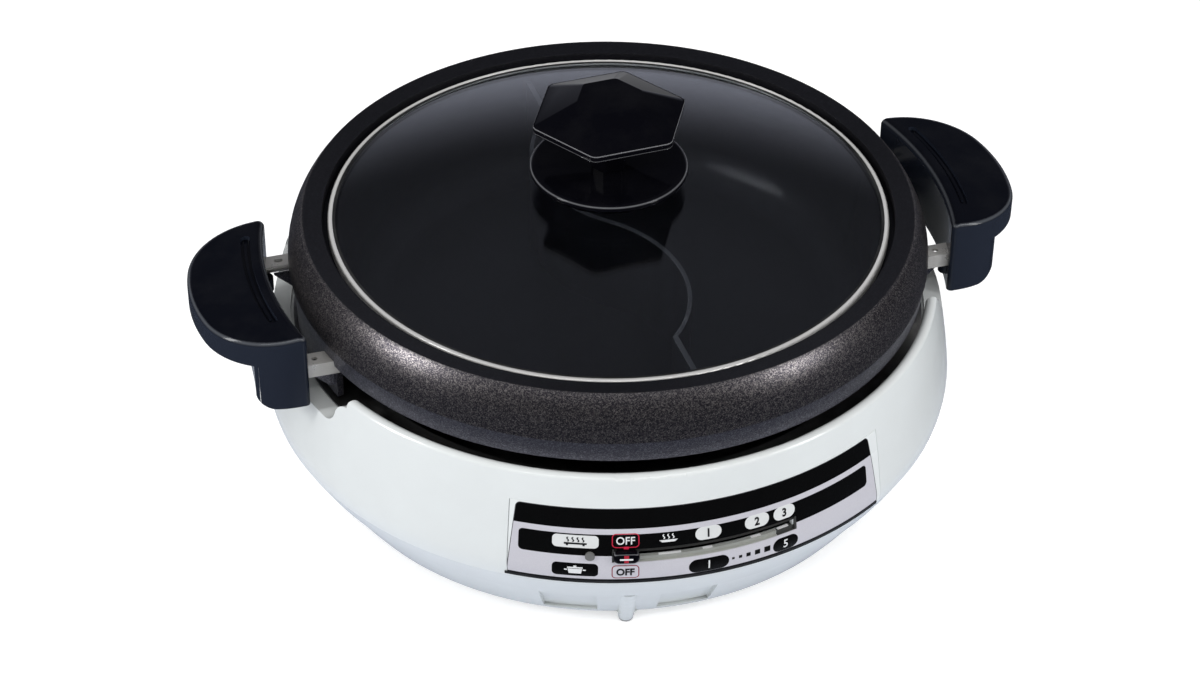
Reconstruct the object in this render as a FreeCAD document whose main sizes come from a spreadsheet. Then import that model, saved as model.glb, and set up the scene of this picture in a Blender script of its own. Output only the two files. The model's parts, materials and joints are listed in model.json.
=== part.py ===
import FreeCAD, Part
import math
import os
import re
import Sketcher

# Electric hot pot: white base with a curved control panel, divided pan with two bracket-mounted
# handles, and a lift-off glass lid. Millimetres, +Z up, front towards -Y, handles along X.
# The origin is the centre of the floor that the feet stand on.

# ---------------------------------------------------------------- driving dimensions
DIMENSIONS = {
    # lid
    "lid_radius": 150,
    "lid_plane": 155,
    "lid_band_height": 5.8,
    "lid_lip_inner": 147.4,
    "lid_sheet": 0.8,
    "glass_radius": 147.9,
    "glass_sag": 20,
    "glass_thickness": 4,
    "glass_bore": 4.5,
    "glass_edge_height": 154,
    "gasket_thickness": 1.2,
    # knob
    "disc_radius": 42.2,
    "disc_top": 185,
    "disc_seat_radius": 30,
    "neck_radius": 10,
    "neck_top": 203,
    "knob_radius": 42.5,
    "knob_corner": 5,
    "knob_under": 211.5,
    "knob_edge": 215.5,
    "knob_crown_radius": 18,
    "knob_crown_corner": 3,
    "knob_top": 226,
    "knob_turn": 2.4,
    "knob_bore_depth": 14,
    "knob_screw_length": 28,
    "washer_radius": 9,
    "screw_radius": 2.5,
    # pan
    "pan_floor": 90,
    "pan_bottom": 84,
    "pan_inner_floor": 119,
    "pan_corner": 20.5,
    "pan_wall": 3.5,
    "pan_inner_top": 145,
    "pan_ledge": 149,
    "pan_step": 153,
    "pan_ring_height": 157,
    "skirt_top_radius": 163.5,
    "skirt_top": 158.3,
    "skirt_radius": 172,
    "skirt_line": 133,
    "skirt_bottom_radius": 170.4,
    "skirt_bottom": 121,
    "skirt_bow": 41,
    "skirt_wall": 3.6,
    "divider_top": 145,
    "divider_bow": 75,
    "divider_bow_x": 51.2,
    "divider_bow_y": 54.8,
    "divider_kink": 107,
    "divider_kink_x": 3.2,
    "divider_end_x": 4,
    "divider_thickness": 3,
    "divider_end": 143.5,
    "apron_radius": 169,
    "apron_bottom": 100,
    "apron_half_angle": 17,
    # handles and their arms
    "handle_inner": 184.7,
    "handle_half": 55.5,
    "handle_reach": 227.2,
    "handle_bow": 100,
    "handle_corner": 41.5,
    "handle_top": 147,
    "handle_fall": 3.8,
    "handle_under": 129.8,
    "horn_round": 2.5,
    "top_round": 4.2,
    "leg_bottom": 102.5,
    "leg_rise": 6,
    "leg_rise_half": 34,
    "leg_waist": 198,
    "leg_bow": 310,
    "leg_outer": 204.4,
    "leg_round": 10,
    "socket_gap": 0.2,
    "peg_place": 180,
    "peg_offset": 43,
    "peg_radius": 4.2,
    "peg_bottom": 108,
    "groove_radius": 194,
    "groove_width": 5,
    "groove_floor": 143.8,
    "groove_front": 36,
    "groove_back": 39,
    "ridge_width": 1.4,
    "ridge_height": 1.1,
    "cover_gap": 0.2,
    "cover_lip": 2,
    "cover_plate": 2,
    "cover_inset": 7,
    "cover_screw_place": 212,
    "cover_screw_offset": 20,
    "cover_screw_radius": 1.2,
    "cover_screw_length": 9,
    "arm_offset": 45,
    "arm_width": 10,
    "arm_top": 124,
    "arm_depth": 8,
    "arm_sheet": 1.6,
    "arm_start": 142,
    "arm_end": 196,
    "arm_hole_place": 30,
    "arm_hole_radius": 1.5,
    "arm_slot_half": 1.2,
    "boss_height": 12,
    "gusset_reach": 175,
    "gusset_bottom": 106,
    "gusset_thickness": 2.4,
    "rivet_place": 10,
    "rivet_radius": 2,
    "rivet_length": 8,
    # base housing
    "rim_inner": 172.5,
    "rim_outer": 178.5,
    "rim_height": 114,
    "belly_upper_radius": 187.1,
    "belly_upper_height": 67,
    "belly_lower_radius": 186.2,
    "belly_lower_height": 53,
    "lip_radius": 176.8,
    "lip_height": 36.5,
    "lip_step": 2,
    "base_radius": 158,
    "base_bottom": 9,
    "housing_wall": 3.5,
    "flank_bow": 400,
    "belly_bow": 30,
    "tuck_bow": 250,
    "ledge_height": 96,
    "ledge_inner": 159,
    "ledge_thickness": 3.5,
    "notch_half_width": 61,
    "notch_floor": 98,
    "notch_round": 7,
    "floor_flange_inner": 138,
    "foot_angle": -13,
    "foot_radius": 4,
    "foot_top_radius": 6.5,
    "foot_place": 153.5,
    "foot_top_place": 169,
    "field_offset": 10.5,
    "field_angle": 10,
    "pad_height": 1.5,
    # control panel
    "panel_half_angle": 32.4,
    "panel_top": 100,
    "panel_bottom": 56,
    "panel_inner_top": 180.7,
    "panel_inner_middle": 186.1,
    "panel_inner_bottom": 186.2,
    "panel_thickness": 1.2,
    "track_height": 72.3,
    "track_width": 8,
    "track_floor": 185.2,
    "track_middle": -0.9,
    "track_half_angle": 15.2,
    "slot_width": 3.6,
    "slot_half_angle": 14.6,
    "lamp_angle": -19.5,
    "lens_radius": 2.5,
    "lens_length": 7,
    "lamp_length": 12,
    "lamp_holder_radius": 4.6,
    # control lever and thermostat
    "lever_off_angle": -13.9,
    "slider_angle": 4,
    "slider_half": 3.4,
    "lever_root_half": 8,
    "lever_tip_half": 5,
    "tongue_half": 4,
    "lever_plate": 31,
    "lever_thickness": 4,
    "hub_radius": 9,
    "hub_height": 7.5,
    "pivot_radius": 3,
    "running_gap": 0.05,
    "gear_module": 1.5,
    "sector_teeth": 160,
    "sector_cut_teeth": 16,
    "pinion_teeth": 16,
    "pinion_angle": 40,
    "sector_inner": 86,
    "brace_inner": 7,
    "brace_outer": 90,
    "shaft_length": 22,
    "thermostat_half_length": 19,
    "thermostat_half_width": 13,
    "thermostat_height": 14,
    "tab_length": 8,
    "bracket_half": 12,
    "bracket_sheet": 1.2,
    "riser_radius": 156,
    "tongue_thickness": 2.6,
    # heater, shield and sensor
    "shield_sheet": 1,
    "shield_inner": 151,
    "shield_lower": 148,
    "shield_floor": 61,
    "shield_corner": 9,
    "heater_radius": 92,
    "heater_tube": 3.3,
    "heater_height": 80.4,
    "heater_drop": 34,
    "heater_seal_radius": 6,
    "heater_seal_height": 4,
    "sensor_radius": 11,
    "sensor_top": 83.7,
    "cap_length": 26,
    "cap_skin": 1.5,
    "sleeve_bottom": 46,
    # bottom cover
    "cover_radius": 147,
    "cover_bottom": 5.5,
    "cover_sheet": 3.5,
    "vent_inner": 70,
    "vent_outer": 104,
    "vent_half": 1.5,
    # inlet
    "inlet_width": 42,
    "inlet_height": 20,
    "inlet_middle": 54,
    "inlet_face": 183.5,
    "inlet_depth": 22,
    "pin_radius": 1.8,
    "pin_length": 24,
}

doc = FreeCAD.newDocument("HotPot")
dims = doc.addObject("Spreadsheet::Sheet", "Dims")
for row, (alias, size) in enumerate(DIMENSIONS.items(), start=1):
    dims.set(f"A{row}", alias)
    dims.set(f"B{row}", str(size))
    dims.setAlias(f"B{row}", alias)
doc.recompute()

X_AXIS = FreeCAD.Vector(1, 0, 0)
Y_AXIS = FreeCAD.Vector(0, 1, 0)
Z_AXIS = FreeCAD.Vector(0, 0, 1)


# ---------------------------------------------------------------- helpers
def bound(text):
    """The expression with every alias written as a cell of the sheet."""
    def cell(word):
        return "Dims." + word.group() if word.group() in DIMENSIONS else word.group()
    return re.sub(r"[a-z]\w*", cell, str(text))


def value(text):
    """The number that an expression over the sheet's aliases stands for."""
    result = dims.evalExpression(bound(text))
    return float(getattr(result, "Value", result))


def bind(thing, prop, text):
    thing.setExpression(prop, bound(text))


def polar(radius, degrees):
    """Point at a radius and an angle, as two expressions."""
    return (f"({radius}) * cos(({degrees}) * 1deg)", f"({radius}) * sin(({degrees}) * 1deg)")


def new_body(label):
    part = doc.addObject("PartDesign::Body", label)
    part.Label = label
    return part


def fix_point(sketch, geometry, position, x, y):
    """Dimension one point of a sketch from the sketch's origin."""
    for kind, axis, text in (("DistanceX", -2, x), ("DistanceY", -1, y)):
        distance = value(text)
        if abs(distance) < 1e-7:
            sketch.addConstraint(Sketcher.Constraint("PointOnObject", geometry, position, axis))
            continue
        index = sketch.addConstraint(
            Sketcher.Constraint(kind, -1, 1, geometry, position, distance))
        bind(sketch, f"Constraints[{index}]", text)


def fix_radius(sketch, geometry, text):
    index = sketch.addConstraint(Sketcher.Constraint("Radius", geometry, value(text)))
    bind(sketch, f"Constraints[{index}]", text)


def arc_between(here, there, radius, turn):
    """The shorter arc between two points, bending left or right on its way."""
    start, end = (here, there) if turn == "left" else (there, here)
    chord = end - start
    middle = (start + end) * 0.5
    normal = FreeCAD.Vector(-chord.y, chord.x, 0).normalize()
    centre = middle + normal * math.sqrt(max(radius ** 2 - (chord.Length / 2) ** 2, 0))
    first = math.atan2(start.y - centre.y, start.x - centre.x)
    last = math.atan2(end.y - centre.y, end.x - centre.x)
    if last < first:
        last += 2 * math.pi
    return Part.ArcOfCircle(Part.Circle(centre, Z_AXIS, radius), first, last)


def add_loop(sketch, corners):
    """Closed outline. A corner is (x, y), reached by a straight side, or
    (x, y, radius, turn), reached by an arc that bends left or right."""
    base = sketch.GeometryCount
    count = len(corners)
    spots = [FreeCAD.Vector(value(c[0]), value(c[1]), 0) for c in corners]
    ends = []
    for side in range(count):
        here, there = spots[side], spots[(side + 1) % count]
        step = corners[(side + 1) % count]
        if len(step) == 2:
            sketch.addGeometry(Part.LineSegment(here, there), False)
            ends.append((1, 2))
        else:
            sketch.addGeometry(arc_between(here, there, value(step[2]), step[3]), False)
            ends.append((1, 2) if step[3] == "left" else (2, 1))
    for side in range(count):
        after = (side + 1) % count
        sketch.addConstraint(Sketcher.Constraint(
            "Coincident", base + side, ends[side][1], base + after, ends[after][0]))
    for side, corner in enumerate(corners):
        fix_point(sketch, base + side, ends[side][0], corner[0], corner[1])
        step = corners[(side + 1) % count]
        if len(step) > 2:
            fix_radius(sketch, base + side, step[2])


def add_circle(sketch, x, y, radius):
    index = sketch.addGeometry(
        Part.Circle(FreeCAD.Vector(value(x), value(y), 0), Z_AXIS, value(radius)), False)
    fix_point(sketch, index, 3, x, y)
    fix_radius(sketch, index, radius)


def new_sketch(part, role, loops=(), circles=(), lift="0", turn="0"):
    """Sketch on one of the body's origin planes, lifted off it or turned about its upright axis."""
    sketch = part.newObject("Sketcher::SketchObject", part.Name + "_sketch")
    plane = next(item for item in part.Origin.OriginFeatures if item.Role == role)
    sketch.AttachmentSupport = [(plane, "")]
    sketch.MapMode = "FlatFace"
    sketch.AttachmentOffset = FreeCAD.Placement(
        FreeCAD.Vector(0, 0, value(lift)), FreeCAD.Rotation(Y_AXIS, value(turn)))
    bind(sketch, "AttachmentOffset.Base.z", lift)
    for corners in loops:
        add_loop(sketch, corners)
    for circle in circles:
        add_circle(sketch, *circle)
    return sketch


def turned(part, sketch, angle="360", cut=False, middle=False):
    """Solid or groove turned about the sketch's upright axis."""
    kind = "PartDesign::Groove" if cut else "PartDesign::Revolution"
    feature = part.newObject(kind, part.Name + "_turn")
    feature.Profile = sketch
    feature.ReferenceAxis = (sketch, ["V_Axis"])
    feature.Midplane = middle
    feature.Angle = value(angle)
    bind(feature, "Angle", angle)
    return feature


def extruded(part, sketch, length, cut=False, both_ways=False, backwards=False):
    """Pad or pocket of a sketch. A plain pad follows the sketch's normal and a plain
    pocket goes against it."""
    kind = "PartDesign::Pocket" if cut else "PartDesign::Pad"
    feature = part.newObject(kind, part.Name + "_extrude")
    feature.Profile = sketch
    feature.Length = value(length)
    bind(feature, "Length", length)
    feature.Reversed = backwards
    if both_ways:
        feature.SideType = "Symmetric"
    return feature


def lofted(part, sections):
    feature = part.newObject("PartDesign::AdditiveLoft", part.Name + "_loft")
    feature.Profile = sections[0]
    feature.Sections = sections[1:]
    feature.Ruled = True
    return feature


def around(part, features, count, angle=360):
    """Copies of features about the upright axis of the body."""
    pattern = part.newObject("PartDesign::PolarPattern", part.Name + "_pattern")
    pattern.Originals = features
    axis = next(item for item in part.Origin.OriginFeatures if item.Role == "Z_Axis")
    pattern.Axis = (axis, [""])
    pattern.Angle = angle
    pattern.Occurrences = count
    part.Tip = pattern
    return pattern


def mirrored(part, features, role="YZ_Plane"):
    mirror = part.newObject("PartDesign::Mirrored", part.Name + "_mirror")
    mirror.Originals = features
    plane = next(item for item in part.Origin.OriginFeatures if item.Role == role)
    mirror.MirrorPlane = (plane, [""])
    part.Tip = mirror
    return mirror


def rounded(part, radius, picks):
    """Fillet on the edges of the body's last feature that a test picks."""
    doc.recompute()
    base = part.Tip
    names = [f"Edge{i}" for i, edge in enumerate(base.Shape.Edges, start=1) if picks(edge)]
    feature = part.newObject("PartDesign::Fillet", part.Name + "_fillet")
    feature.Base = (base, names)
    feature.Radius = value(radius)
    bind(feature, "Radius", radius)
    return feature


def sector(inner, outer, first, last):
    """Outline of a ring sector between two angles in degrees."""
    return [
        (*polar(inner, last), inner, "left"),
        polar(outer, last),
        (*polar(outer, first), outer, "right"),
        polar(inner, first),
    ]


def box_loop(x0, y0, x1, y1):
    return [(x0, y0), (x1, y0), (x1, y1), (x0, y1)]


def fastener_group(label, places, head_radius, head_height, shank_radius, shank_length,
                   head_below=False):
    """Identical round-headed fasteners, upright, each a separate solid. A place is the
    point where the head meets the shank."""
    solids = []
    for x, y, z in places:
        head = doc.addObject("Part::Cylinder", label + "_head")
        bind(head, "Radius", head_radius)
        bind(head, "Height", head_height)
        shank = doc.addObject("Part::Cylinder", label + "_shank")
        bind(shank, "Radius", shank_radius)
        bind(shank, "Height", shank_length)
        head_z = z - value(head_height) if head_below else z
        shank_z = z if head_below else z - value(shank_length)
        head.Placement.Base = FreeCAD.Vector(x, y, head_z)
        shank.Placement.Base = FreeCAD.Vector(x, y, shank_z)
        joined = doc.addObject("Part::Fuse", label + "_one")
        joined.Base = head
        joined.Tool = shank
        solids.append(joined)
    group = doc.addObject("Part::Compound", label)
    group.Links = solids
    group.Label = label
    return group


# ---------------------------------------------------------------- lid
def make_lid():
    """Domed glass held by a steel band, with a soft seal between the two."""
    bow = "(glass_radius ^ 2 + glass_sag ^ 2) / (2 * glass_sag)"
    glass = new_body("lid_glass")
    turned(glass, new_sketch(glass, "XZ_Plane", [[
        ("glass_bore", "glass_edge_height + glass_sag - glass_thickness",
         f"{bow} - glass_thickness", "left"),
        ("glass_bore", "glass_edge_height + glass_sag"),
        ("glass_radius", "glass_edge_height", bow, "right"),
        ("glass_radius", "glass_edge_height - glass_thickness"),
    ]]))

    rim = new_body("lid_rim")
    lower = "lid_plane - lid_band_height"
    turned(rim, new_sketch(rim, "XZ_Plane", [[
        ("lid_lip_inner", "lid_plane - lid_sheet"),
        ("lid_radius - lid_sheet", "lid_plane - lid_sheet"),
        ("lid_radius - lid_sheet", f"{lower} + lid_sheet"),
        ("lid_lip_inner", f"{lower} + lid_sheet"),
        ("lid_lip_inner", lower),
        ("lid_radius - 0.8", lower),
        ("lid_radius", f"{lower} + 0.8", 0.8, "left"),
        ("lid_radius", "lid_plane - 1.2"),
        ("lid_radius - 1.2", "lid_plane", 1.2, "left"),
        ("lid_lip_inner", "lid_plane"),
    ]]))

    seal = new_body("lid_seal")
    turned(seal, new_sketch(seal, "XZ_Plane", [[
        ("lid_lip_inner - 1.6", "lid_plane - 0.25"),
        ("lid_lip_inner - 1.6", "glass_edge_height + 0.6"),
        ("lid_lip_inner", "glass_edge_height + 0.2"),
        ("lid_lip_inner", "lid_plane - 0.25"),
    ]]))


def make_knob():
    """Faceted six-sided knob on a neck, its stand-off disc, screw and washers."""
    under_disc = "glass_edge_height + glass_sag + gasket_thickness"
    disc = new_body("knob_base")
    turned(disc, new_sketch(disc, "XZ_Plane", [[
        ("glass_bore", under_disc),
        ("glass_bore", "disc_top - 1"),
        ("neck_radius + 1", "disc_top - 1"),
        ("disc_radius - 3", "disc_top"),
        ("disc_radius", "disc_top - 3", 3.1, "right"),
        ("disc_seat_radius + 4", f"{under_disc} + 1", 14, "right"),
        ("disc_seat_radius", f"{under_disc} - 0.8", 6, "left"),
        ("disc_seat_radius - 3", f"{under_disc} - 0.8"),
        ("disc_seat_radius - 5", f"{under_disc} + 2"),
        ("12", f"{under_disc} + 2"),
        ("10", under_disc),
    ]]))

    knob = new_body("lid_knob")
    neck = hexagon(knob, "neck_radius", 2.5, "disc_top - 1")
    extruded(knob, neck, "neck_top - disc_top + 1")
    flare = [
        hexagon(knob, "neck_radius", 2.5, "neck_top"),
        hexagon(knob, "neck_radius + 5", 3.5, "neck_top + 5"),
        hexagon(knob, "knob_radius - 6", "knob_corner", "knob_under"),
    ]
    lofted(knob, flare)
    extruded(knob, hexagon(knob, "knob_radius", "knob_corner", "knob_under"),
             "knob_edge - knob_under")
    lofted(knob, [
        hexagon(knob, "knob_radius - 0.8", "knob_corner", "knob_edge"),
        hexagon(knob, "knob_crown_radius", "knob_crown_corner", "knob_top"),
    ])
    bore = new_sketch(knob, "XY_Plane", circles=[("0", "0", "screw_radius")], lift="disc_top - 1")
    extruded(knob, bore, "knob_bore_depth", cut=True, backwards=True)
    knob.Placement.Rotation = FreeCAD.Rotation(Z_AXIS, value("knob_turn"))

    # the dome falls a little over the washer's width
    washer_top = "glass_edge_height + glass_sag - glass_thickness - 0.08"
    washer_under = f"{washer_top} - gasket_thickness"
    washer = new_body("knob_washer")
    turned(washer, new_sketch(washer, "XZ_Plane", [
        box_loop("screw_radius", washer_under, "washer_radius", washer_top)]))
    gasket = new_body("knob_gasket")
    turned(gasket, new_sketch(gasket, "XZ_Plane", [
        box_loop("screw_radius", "glass_edge_height + glass_sag", "neck_radius", under_disc)]))
    fastener_group("knob_screw", [(0, 0, value(washer_under))], "6", "3", "screw_radius",
                   "knob_screw_length", head_below=True)


def hexagon(part, radius, corner, lift):
    """Sketch of a hexagon with rounded corners, one vertex on the X axis."""
    loop = []
    for k in range(6):
        middle = 60 * k
        reach = f"({corner}) * tan(30deg)"
        for side in (-1, 1):
            # corner ends lie on the straight sides, the rounding's tangent length from the vertex
            x0, y0 = polar(radius, middle)
            dx, dy = polar(reach, middle + side * 120)
            point = (f"{x0} + {dx}", f"{y0} + {dy}")
            loop.append(point if side < 0 else (*point, corner, "left"))
    return new_sketch(part, "XY_Plane", [loop], lift=lift)


# ---------------------------------------------------------------- pan
def make_pan():
    """Cast pan: flat rim, deep skirt, S-shaped divider, bosses and aprons for the handles."""
    pan = new_body("cooking_pan")
    turned(pan, new_sketch(pan, "XZ_Plane", [[
        (0, "pan_bottom"),
        ("pan_inner_top + 6", "pan_bottom"),
        ("pan_inner_top + 6", "skirt_bottom"),
        ("skirt_bottom_radius", "skirt_bottom"),
        ("skirt_radius - 0.4", "skirt_line"),
        ("skirt_radius", "skirt_line"),
        ("skirt_top_radius", "skirt_top", "skirt_bow", "left"),
        ("pan_step + 0.6", "pan_ring_height"),
        (0, "pan_ring_height"),
    ]]))

    cavity = new_sketch(pan, "XZ_Plane", [[
        (0, "pan_floor"),
        ("pan_inner_floor", "pan_floor"),
        ("pan_inner_floor + 20.27", "pan_floor + 17.4", "pan_corner", "left"),
        ("pan_inner_top", "pan_ledge"),
        ("pan_step", "pan_ledge"),
        ("pan_step", "pan_ring_height + 5"),
        (0, "pan_ring_height + 5"),
    ]])
    turned(pan, cavity, cut=True)

    # S-shaped divider: two equal arcs that meet at the centre, each ending in a straight stub
    half = "divider_thickness / 2"
    for sign in (1, -1):
        bow_in = f"divider_bow - {half}"
        bow_out = f"divider_bow + {half}"
        along = "divider_bow_x / divider_bow"
        across = "divider_bow_y / divider_bow"
        inner_end = (f"{sign} * (divider_kink_x - {half})", f"{-sign} * divider_kink")
        outer_end = (f"{sign} * (divider_kink_x + {half})", f"{-sign} * divider_kink")
        loop = [
            (f"{-sign} * {along} * {half}", f"{-sign} * {across} * {half}"),
            (*inner_end, bow_in, "right"),
            (f"{sign} * (divider_end_x - {half})", f"{-sign} * divider_end"),
            (f"{sign} * (divider_end_x + {half})", f"{-sign} * divider_end"),
            outer_end,
            (f"{sign} * {along} * {half}", f"{sign} * {across} * {half}", bow_out, "left"),
        ]
        wall = new_sketch(pan, "XY_Plane", [loop], lift="pan_floor - 2")
        extruded(pan, wall, "divider_top - pan_floor + 2")

    under = new_sketch(pan, "XZ_Plane", [[
        ("pan_inner_floor + 2", "pan_bottom - 5"),
        ("pan_inner_floor + 2", "pan_bottom"),
        ("pan_inner_top - 2", "pan_floor + 16.6", "pan_corner + pan_wall + 1", "left"),
        ("pan_inner_top + 3.6", "pan_ledge - 4"),
        ("pan_step + 1", "pan_ledge - 4"),
        ("pan_step + 4.5", "pan_ring_height - 4"),
        ("skirt_top_radius - 2.5", "pan_ring_height - 4"),
        ("skirt_radius - skirt_wall", "skirt_line", "skirt_bow - skirt_wall", "right"),
        ("skirt_bottom_radius - skirt_wall", "skirt_bottom"),
        ("skirt_bottom_radius - skirt_wall", "pan_bottom - 5"),
    ]])
    turned(pan, under, cut=True)

    apron = new_sketch(pan, "XY_Plane", [
        sector("apron_radius - 3.5", "apron_radius", "-apron_half_angle", "apron_half_angle"),
    ], lift="apron_bottom")
    apron_pad = extruded(pan, apron, "skirt_bottom + 4 - apron_bottom")
    flange_under = "arm_top - arm_sheet"
    bosses = new_sketch(pan, "XY_Plane", [
        box_loop("arm_start - 7", f"{side} * (arm_offset - 4.5)",
                 "arm_start + 16", f"{side} * (arm_offset + 0.9)")
        for side in (-1, 1)
    ], lift=f"{flange_under} - boss_height")
    boss_pad = extruded(pan, bosses, "boss_height")
    mirrored(pan, [apron_pad, boss_pad])

    # a triangular gusset stands out from the apron under each arm
    gap = "0.4"
    gussets = []
    for side in (-1, 1):
        gusset = new_sketch(pan, "XZ_Plane", [[
            ("apron_radius - 10", "gusset_bottom"),
            ("apron_radius - 4", "gusset_bottom"),
            ("gusset_reach", f"arm_top - arm_depth - {gap}"),
            ("apron_radius - 10", f"arm_top - arm_depth - {gap}"),
        ]], lift=f"{side} * arm_offset")
        gussets.append(extruded(pan, gusset, "gusset_thickness", both_ways=True))
    mirrored(pan, gussets)

    slots = new_sketch(pan, "YZ_Plane", [
        box_loop(f"{side} * (arm_offset - arm_width / 2 - {gap})", f"arm_top - arm_depth - {gap}",
                 f"{side} * (arm_offset + arm_width / 2 + {gap})", f"arm_top + {gap}")
        for side in (-1, 1)
    ], lift="arm_start + 15")
    slot_cut = extruded(pan, slots, "skirt_radius - arm_start", cut=True, backwards=True)
    rivet_holes = new_sketch(pan, "XY_Plane", circles=[
        ("arm_start + rivet_place", f"{side} * (arm_offset - 1)", "rivet_radius")
        for side in (-1, 1)
    ], lift=flange_under)
    rivet_cut = extruded(pan, rivet_holes, "rivet_length - arm_sheet", cut=True)
    mirrored(pan, [slot_cut, rivet_cut])


def handle_outline(sign):
    """Plan of the handle: concave along the pan, two flat ends, a bow with wide corners."""
    corner_y = "(handle_half - handle_corner)"
    bow_x = "(handle_reach - handle_bow)"
    run = f"sqrt((handle_bow - handle_corner) ^ 2 - {corner_y} ^ 2)"
    scale = "handle_bow / (handle_bow - handle_corner)"
    horn_x = f"{sign} * sqrt(handle_inner ^ 2 - handle_half ^ 2)"
    corner_x = f"{sign} * ({bow_x} + {run})"
    join_x = f"{sign} * ({bow_x} + {run} * {scale})"
    join_y = f"{corner_y} * {scale}"
    ahead, back = ("left", "right") if sign > 0 else ("right", "left")
    return [
        (horn_x, "-handle_half", "handle_inner", back),
        (corner_x, "-handle_half"),
        (join_x, f"-{join_y}", "handle_corner", ahead),
        (join_x, join_y, "handle_bow", ahead),
        (corner_x, "handle_half", "handle_corner", ahead),
        (horn_x, "handle_half"),
    ]


def trim_leg(part, sign):
    """Cut everything below the grip back to the handle's plan and round the lower outer corner."""
    frame = box_loop(f"{sign} * (handle_inner - 40)", "-handle_half - 30",
                     f"{sign} * (handle_reach + 30)", "handle_half + 30")
    outside = new_sketch(part, "XY_Plane", [frame, handle_outline(sign)], lift="handle_under")
    extruded(part, outside, "handle_under - leg_bottom + 5", cut=True)
    ahead = "left" if sign > 0 else "right"
    corner = new_sketch(part, "XZ_Plane", [[
        (f"{sign} * (leg_outer - leg_round)", "leg_bottom"),
        (f"{sign} * leg_outer", "leg_bottom + leg_round", "leg_round", ahead),
        (f"{sign} * (leg_outer + 30)", "leg_bottom + leg_round"),
        (f"{sign} * (leg_outer + 30)", "leg_bottom - 1"),
        (f"{sign} * (leg_outer - leg_round)", "leg_bottom - 1"),
    ]])
    extruded(part, corner, "3 * handle_half", cut=True, both_ways=True)


def leg_side(sign, step, y, *rest):
    """Point on the hollow outer side of the leg, moved out by a step."""
    x = f"leg_waist + leg_bow - sqrt((leg_bow - ({step})) ^ 2 - ({y}) ^ 2)"
    return (f"{sign} * ({x})", y, *rest)


def make_handle(side, sign):
    """D-shaped handle: a grip that falls outwards, on a leg that stands along the pan."""
    handle = new_body(f"{side}_handle")
    ahead, back = ("left", "right") if sign > 0 else ("right", "left")
    plate = new_sketch(handle, "XY_Plane", [handle_outline(sign)], lift="handle_under")
    extruded(handle, plate, "handle_top - handle_under + 2")
    leg = new_sketch(handle, "XY_Plane", [[
        (f"{sign} * (handle_inner - 12)", "-handle_half - 2"),
        leg_side(sign, 0, "-handle_half - 2"),
        leg_side(sign, 0, "handle_half + 2", "leg_bow", back),
        (f"{sign} * (handle_inner - 12)", "handle_half + 2"),
    ]], lift="leg_bottom")
    extruded(handle, leg, "handle_under - leg_bottom")
    trim_leg(handle, sign)

    # the leg is cut back between its two feet
    rise = new_sketch(handle, "YZ_Plane", [[
        ("-leg_rise_half", "leg_bottom - 1"),
        ("leg_rise_half", "leg_bottom - 1"),
        ("leg_rise_half - leg_rise", "leg_bottom + leg_rise"),
        ("-leg_rise_half + leg_rise", "leg_bottom + leg_rise"),
    ]])
    extruded(handle, rise, "3 * handle_reach", cut=True, both_ways=True)

    # the top is a shallow cone that falls towards the bow
    fall = "handle_fall / (handle_reach - handle_inner)"
    top = new_sketch(handle, "YZ_Plane", [[
        ("handle_inner - 12", f"handle_top + 12 * {fall}"),
        ("handle_reach + 12", f"handle_top - handle_fall - 12 * {fall}"),
        ("handle_reach + 12", "handle_top + 12"),
        ("handle_inner - 12", "handle_top + 12"),
    ]])
    turned(handle, top, cut=True)
    rounded(handle, "horn_round", is_horn)
    rounded(handle, "top_round", is_top_edge)

    # sockets that the two arms fit into, and a screw boss under each
    sockets = new_sketch(handle, "YZ_Plane", [
        box_loop(f"{end} * (arm_offset - arm_width / 2 - socket_gap)", "arm_top - arm_depth",
                 f"{end} * (arm_offset + arm_width / 2 + socket_gap)", "arm_top")
        for end in (-1, 1)
    ])
    extruded(handle, sockets, "arm_end + socket_gap", cut=True, backwards=sign > 0)
    pegs = new_sketch(handle, "XY_Plane", circles=[
        (f"{sign} * peg_place", f"{end} * peg_offset", "peg_radius") for end in (-1, 1)
    ], lift="peg_bottom")
    extruded(handle, pegs, "arm_top - arm_depth - peg_bottom")

    bores = new_sketch(handle, "XY_Plane", circles=cover_screw_circles(sign), lift="handle_under")
    extruded(handle, bores, "cover_screw_length - cover_plate", cut=True, backwards=True)

    # crescent groove on the top face with a low ridge along its middle
    for width, cut in (("groove_width", True), ("ridge_width", False)):
        inner = f"(groove_radius - {width} / 2)"
        outer = f"(groove_radius + {width} / 2)"
        end_round = f"{width} / 2 + 0.1"
        shift = "0" if cut else "(groove_width - ridge_width)"
        front, rear = f"-groove_front + {shift}", f"groove_back - {shift}"
        crescent = new_sketch(handle, "XY_Plane", [[
            on_circle(sign, inner, front, inner, back),
            on_circle(sign, outer, front, end_round, ahead),
            on_circle(sign, outer, rear, outer, ahead),
            on_circle(sign, inner, rear, end_round, ahead),
        ]], lift="handle_top" if cut else "groove_floor")
        length = "handle_top - groove_floor" if cut else "ridge_height"
        extruded(handle, crescent, length, cut=cut)


def on_circle(sign, radius, y, *rest):
    return (f"{sign} * sqrt(({radius}) ^ 2 - ({y}) ^ 2)", y, *rest)


def is_horn(edge):
    """Upright edge where a flat end of the handle meets the side along the pan."""
    low, high = sorted((vertex.Point for vertex in edge.Vertexes), key=lambda point: point.z)
    at_end = abs(abs(low.y) - value("handle_half")) < 1e-3
    at_side = abs(math.hypot(low.x, low.y) - value("handle_inner")) < 1e-3
    return at_end and at_side and high.z - low.z > value("horn_round")


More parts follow.
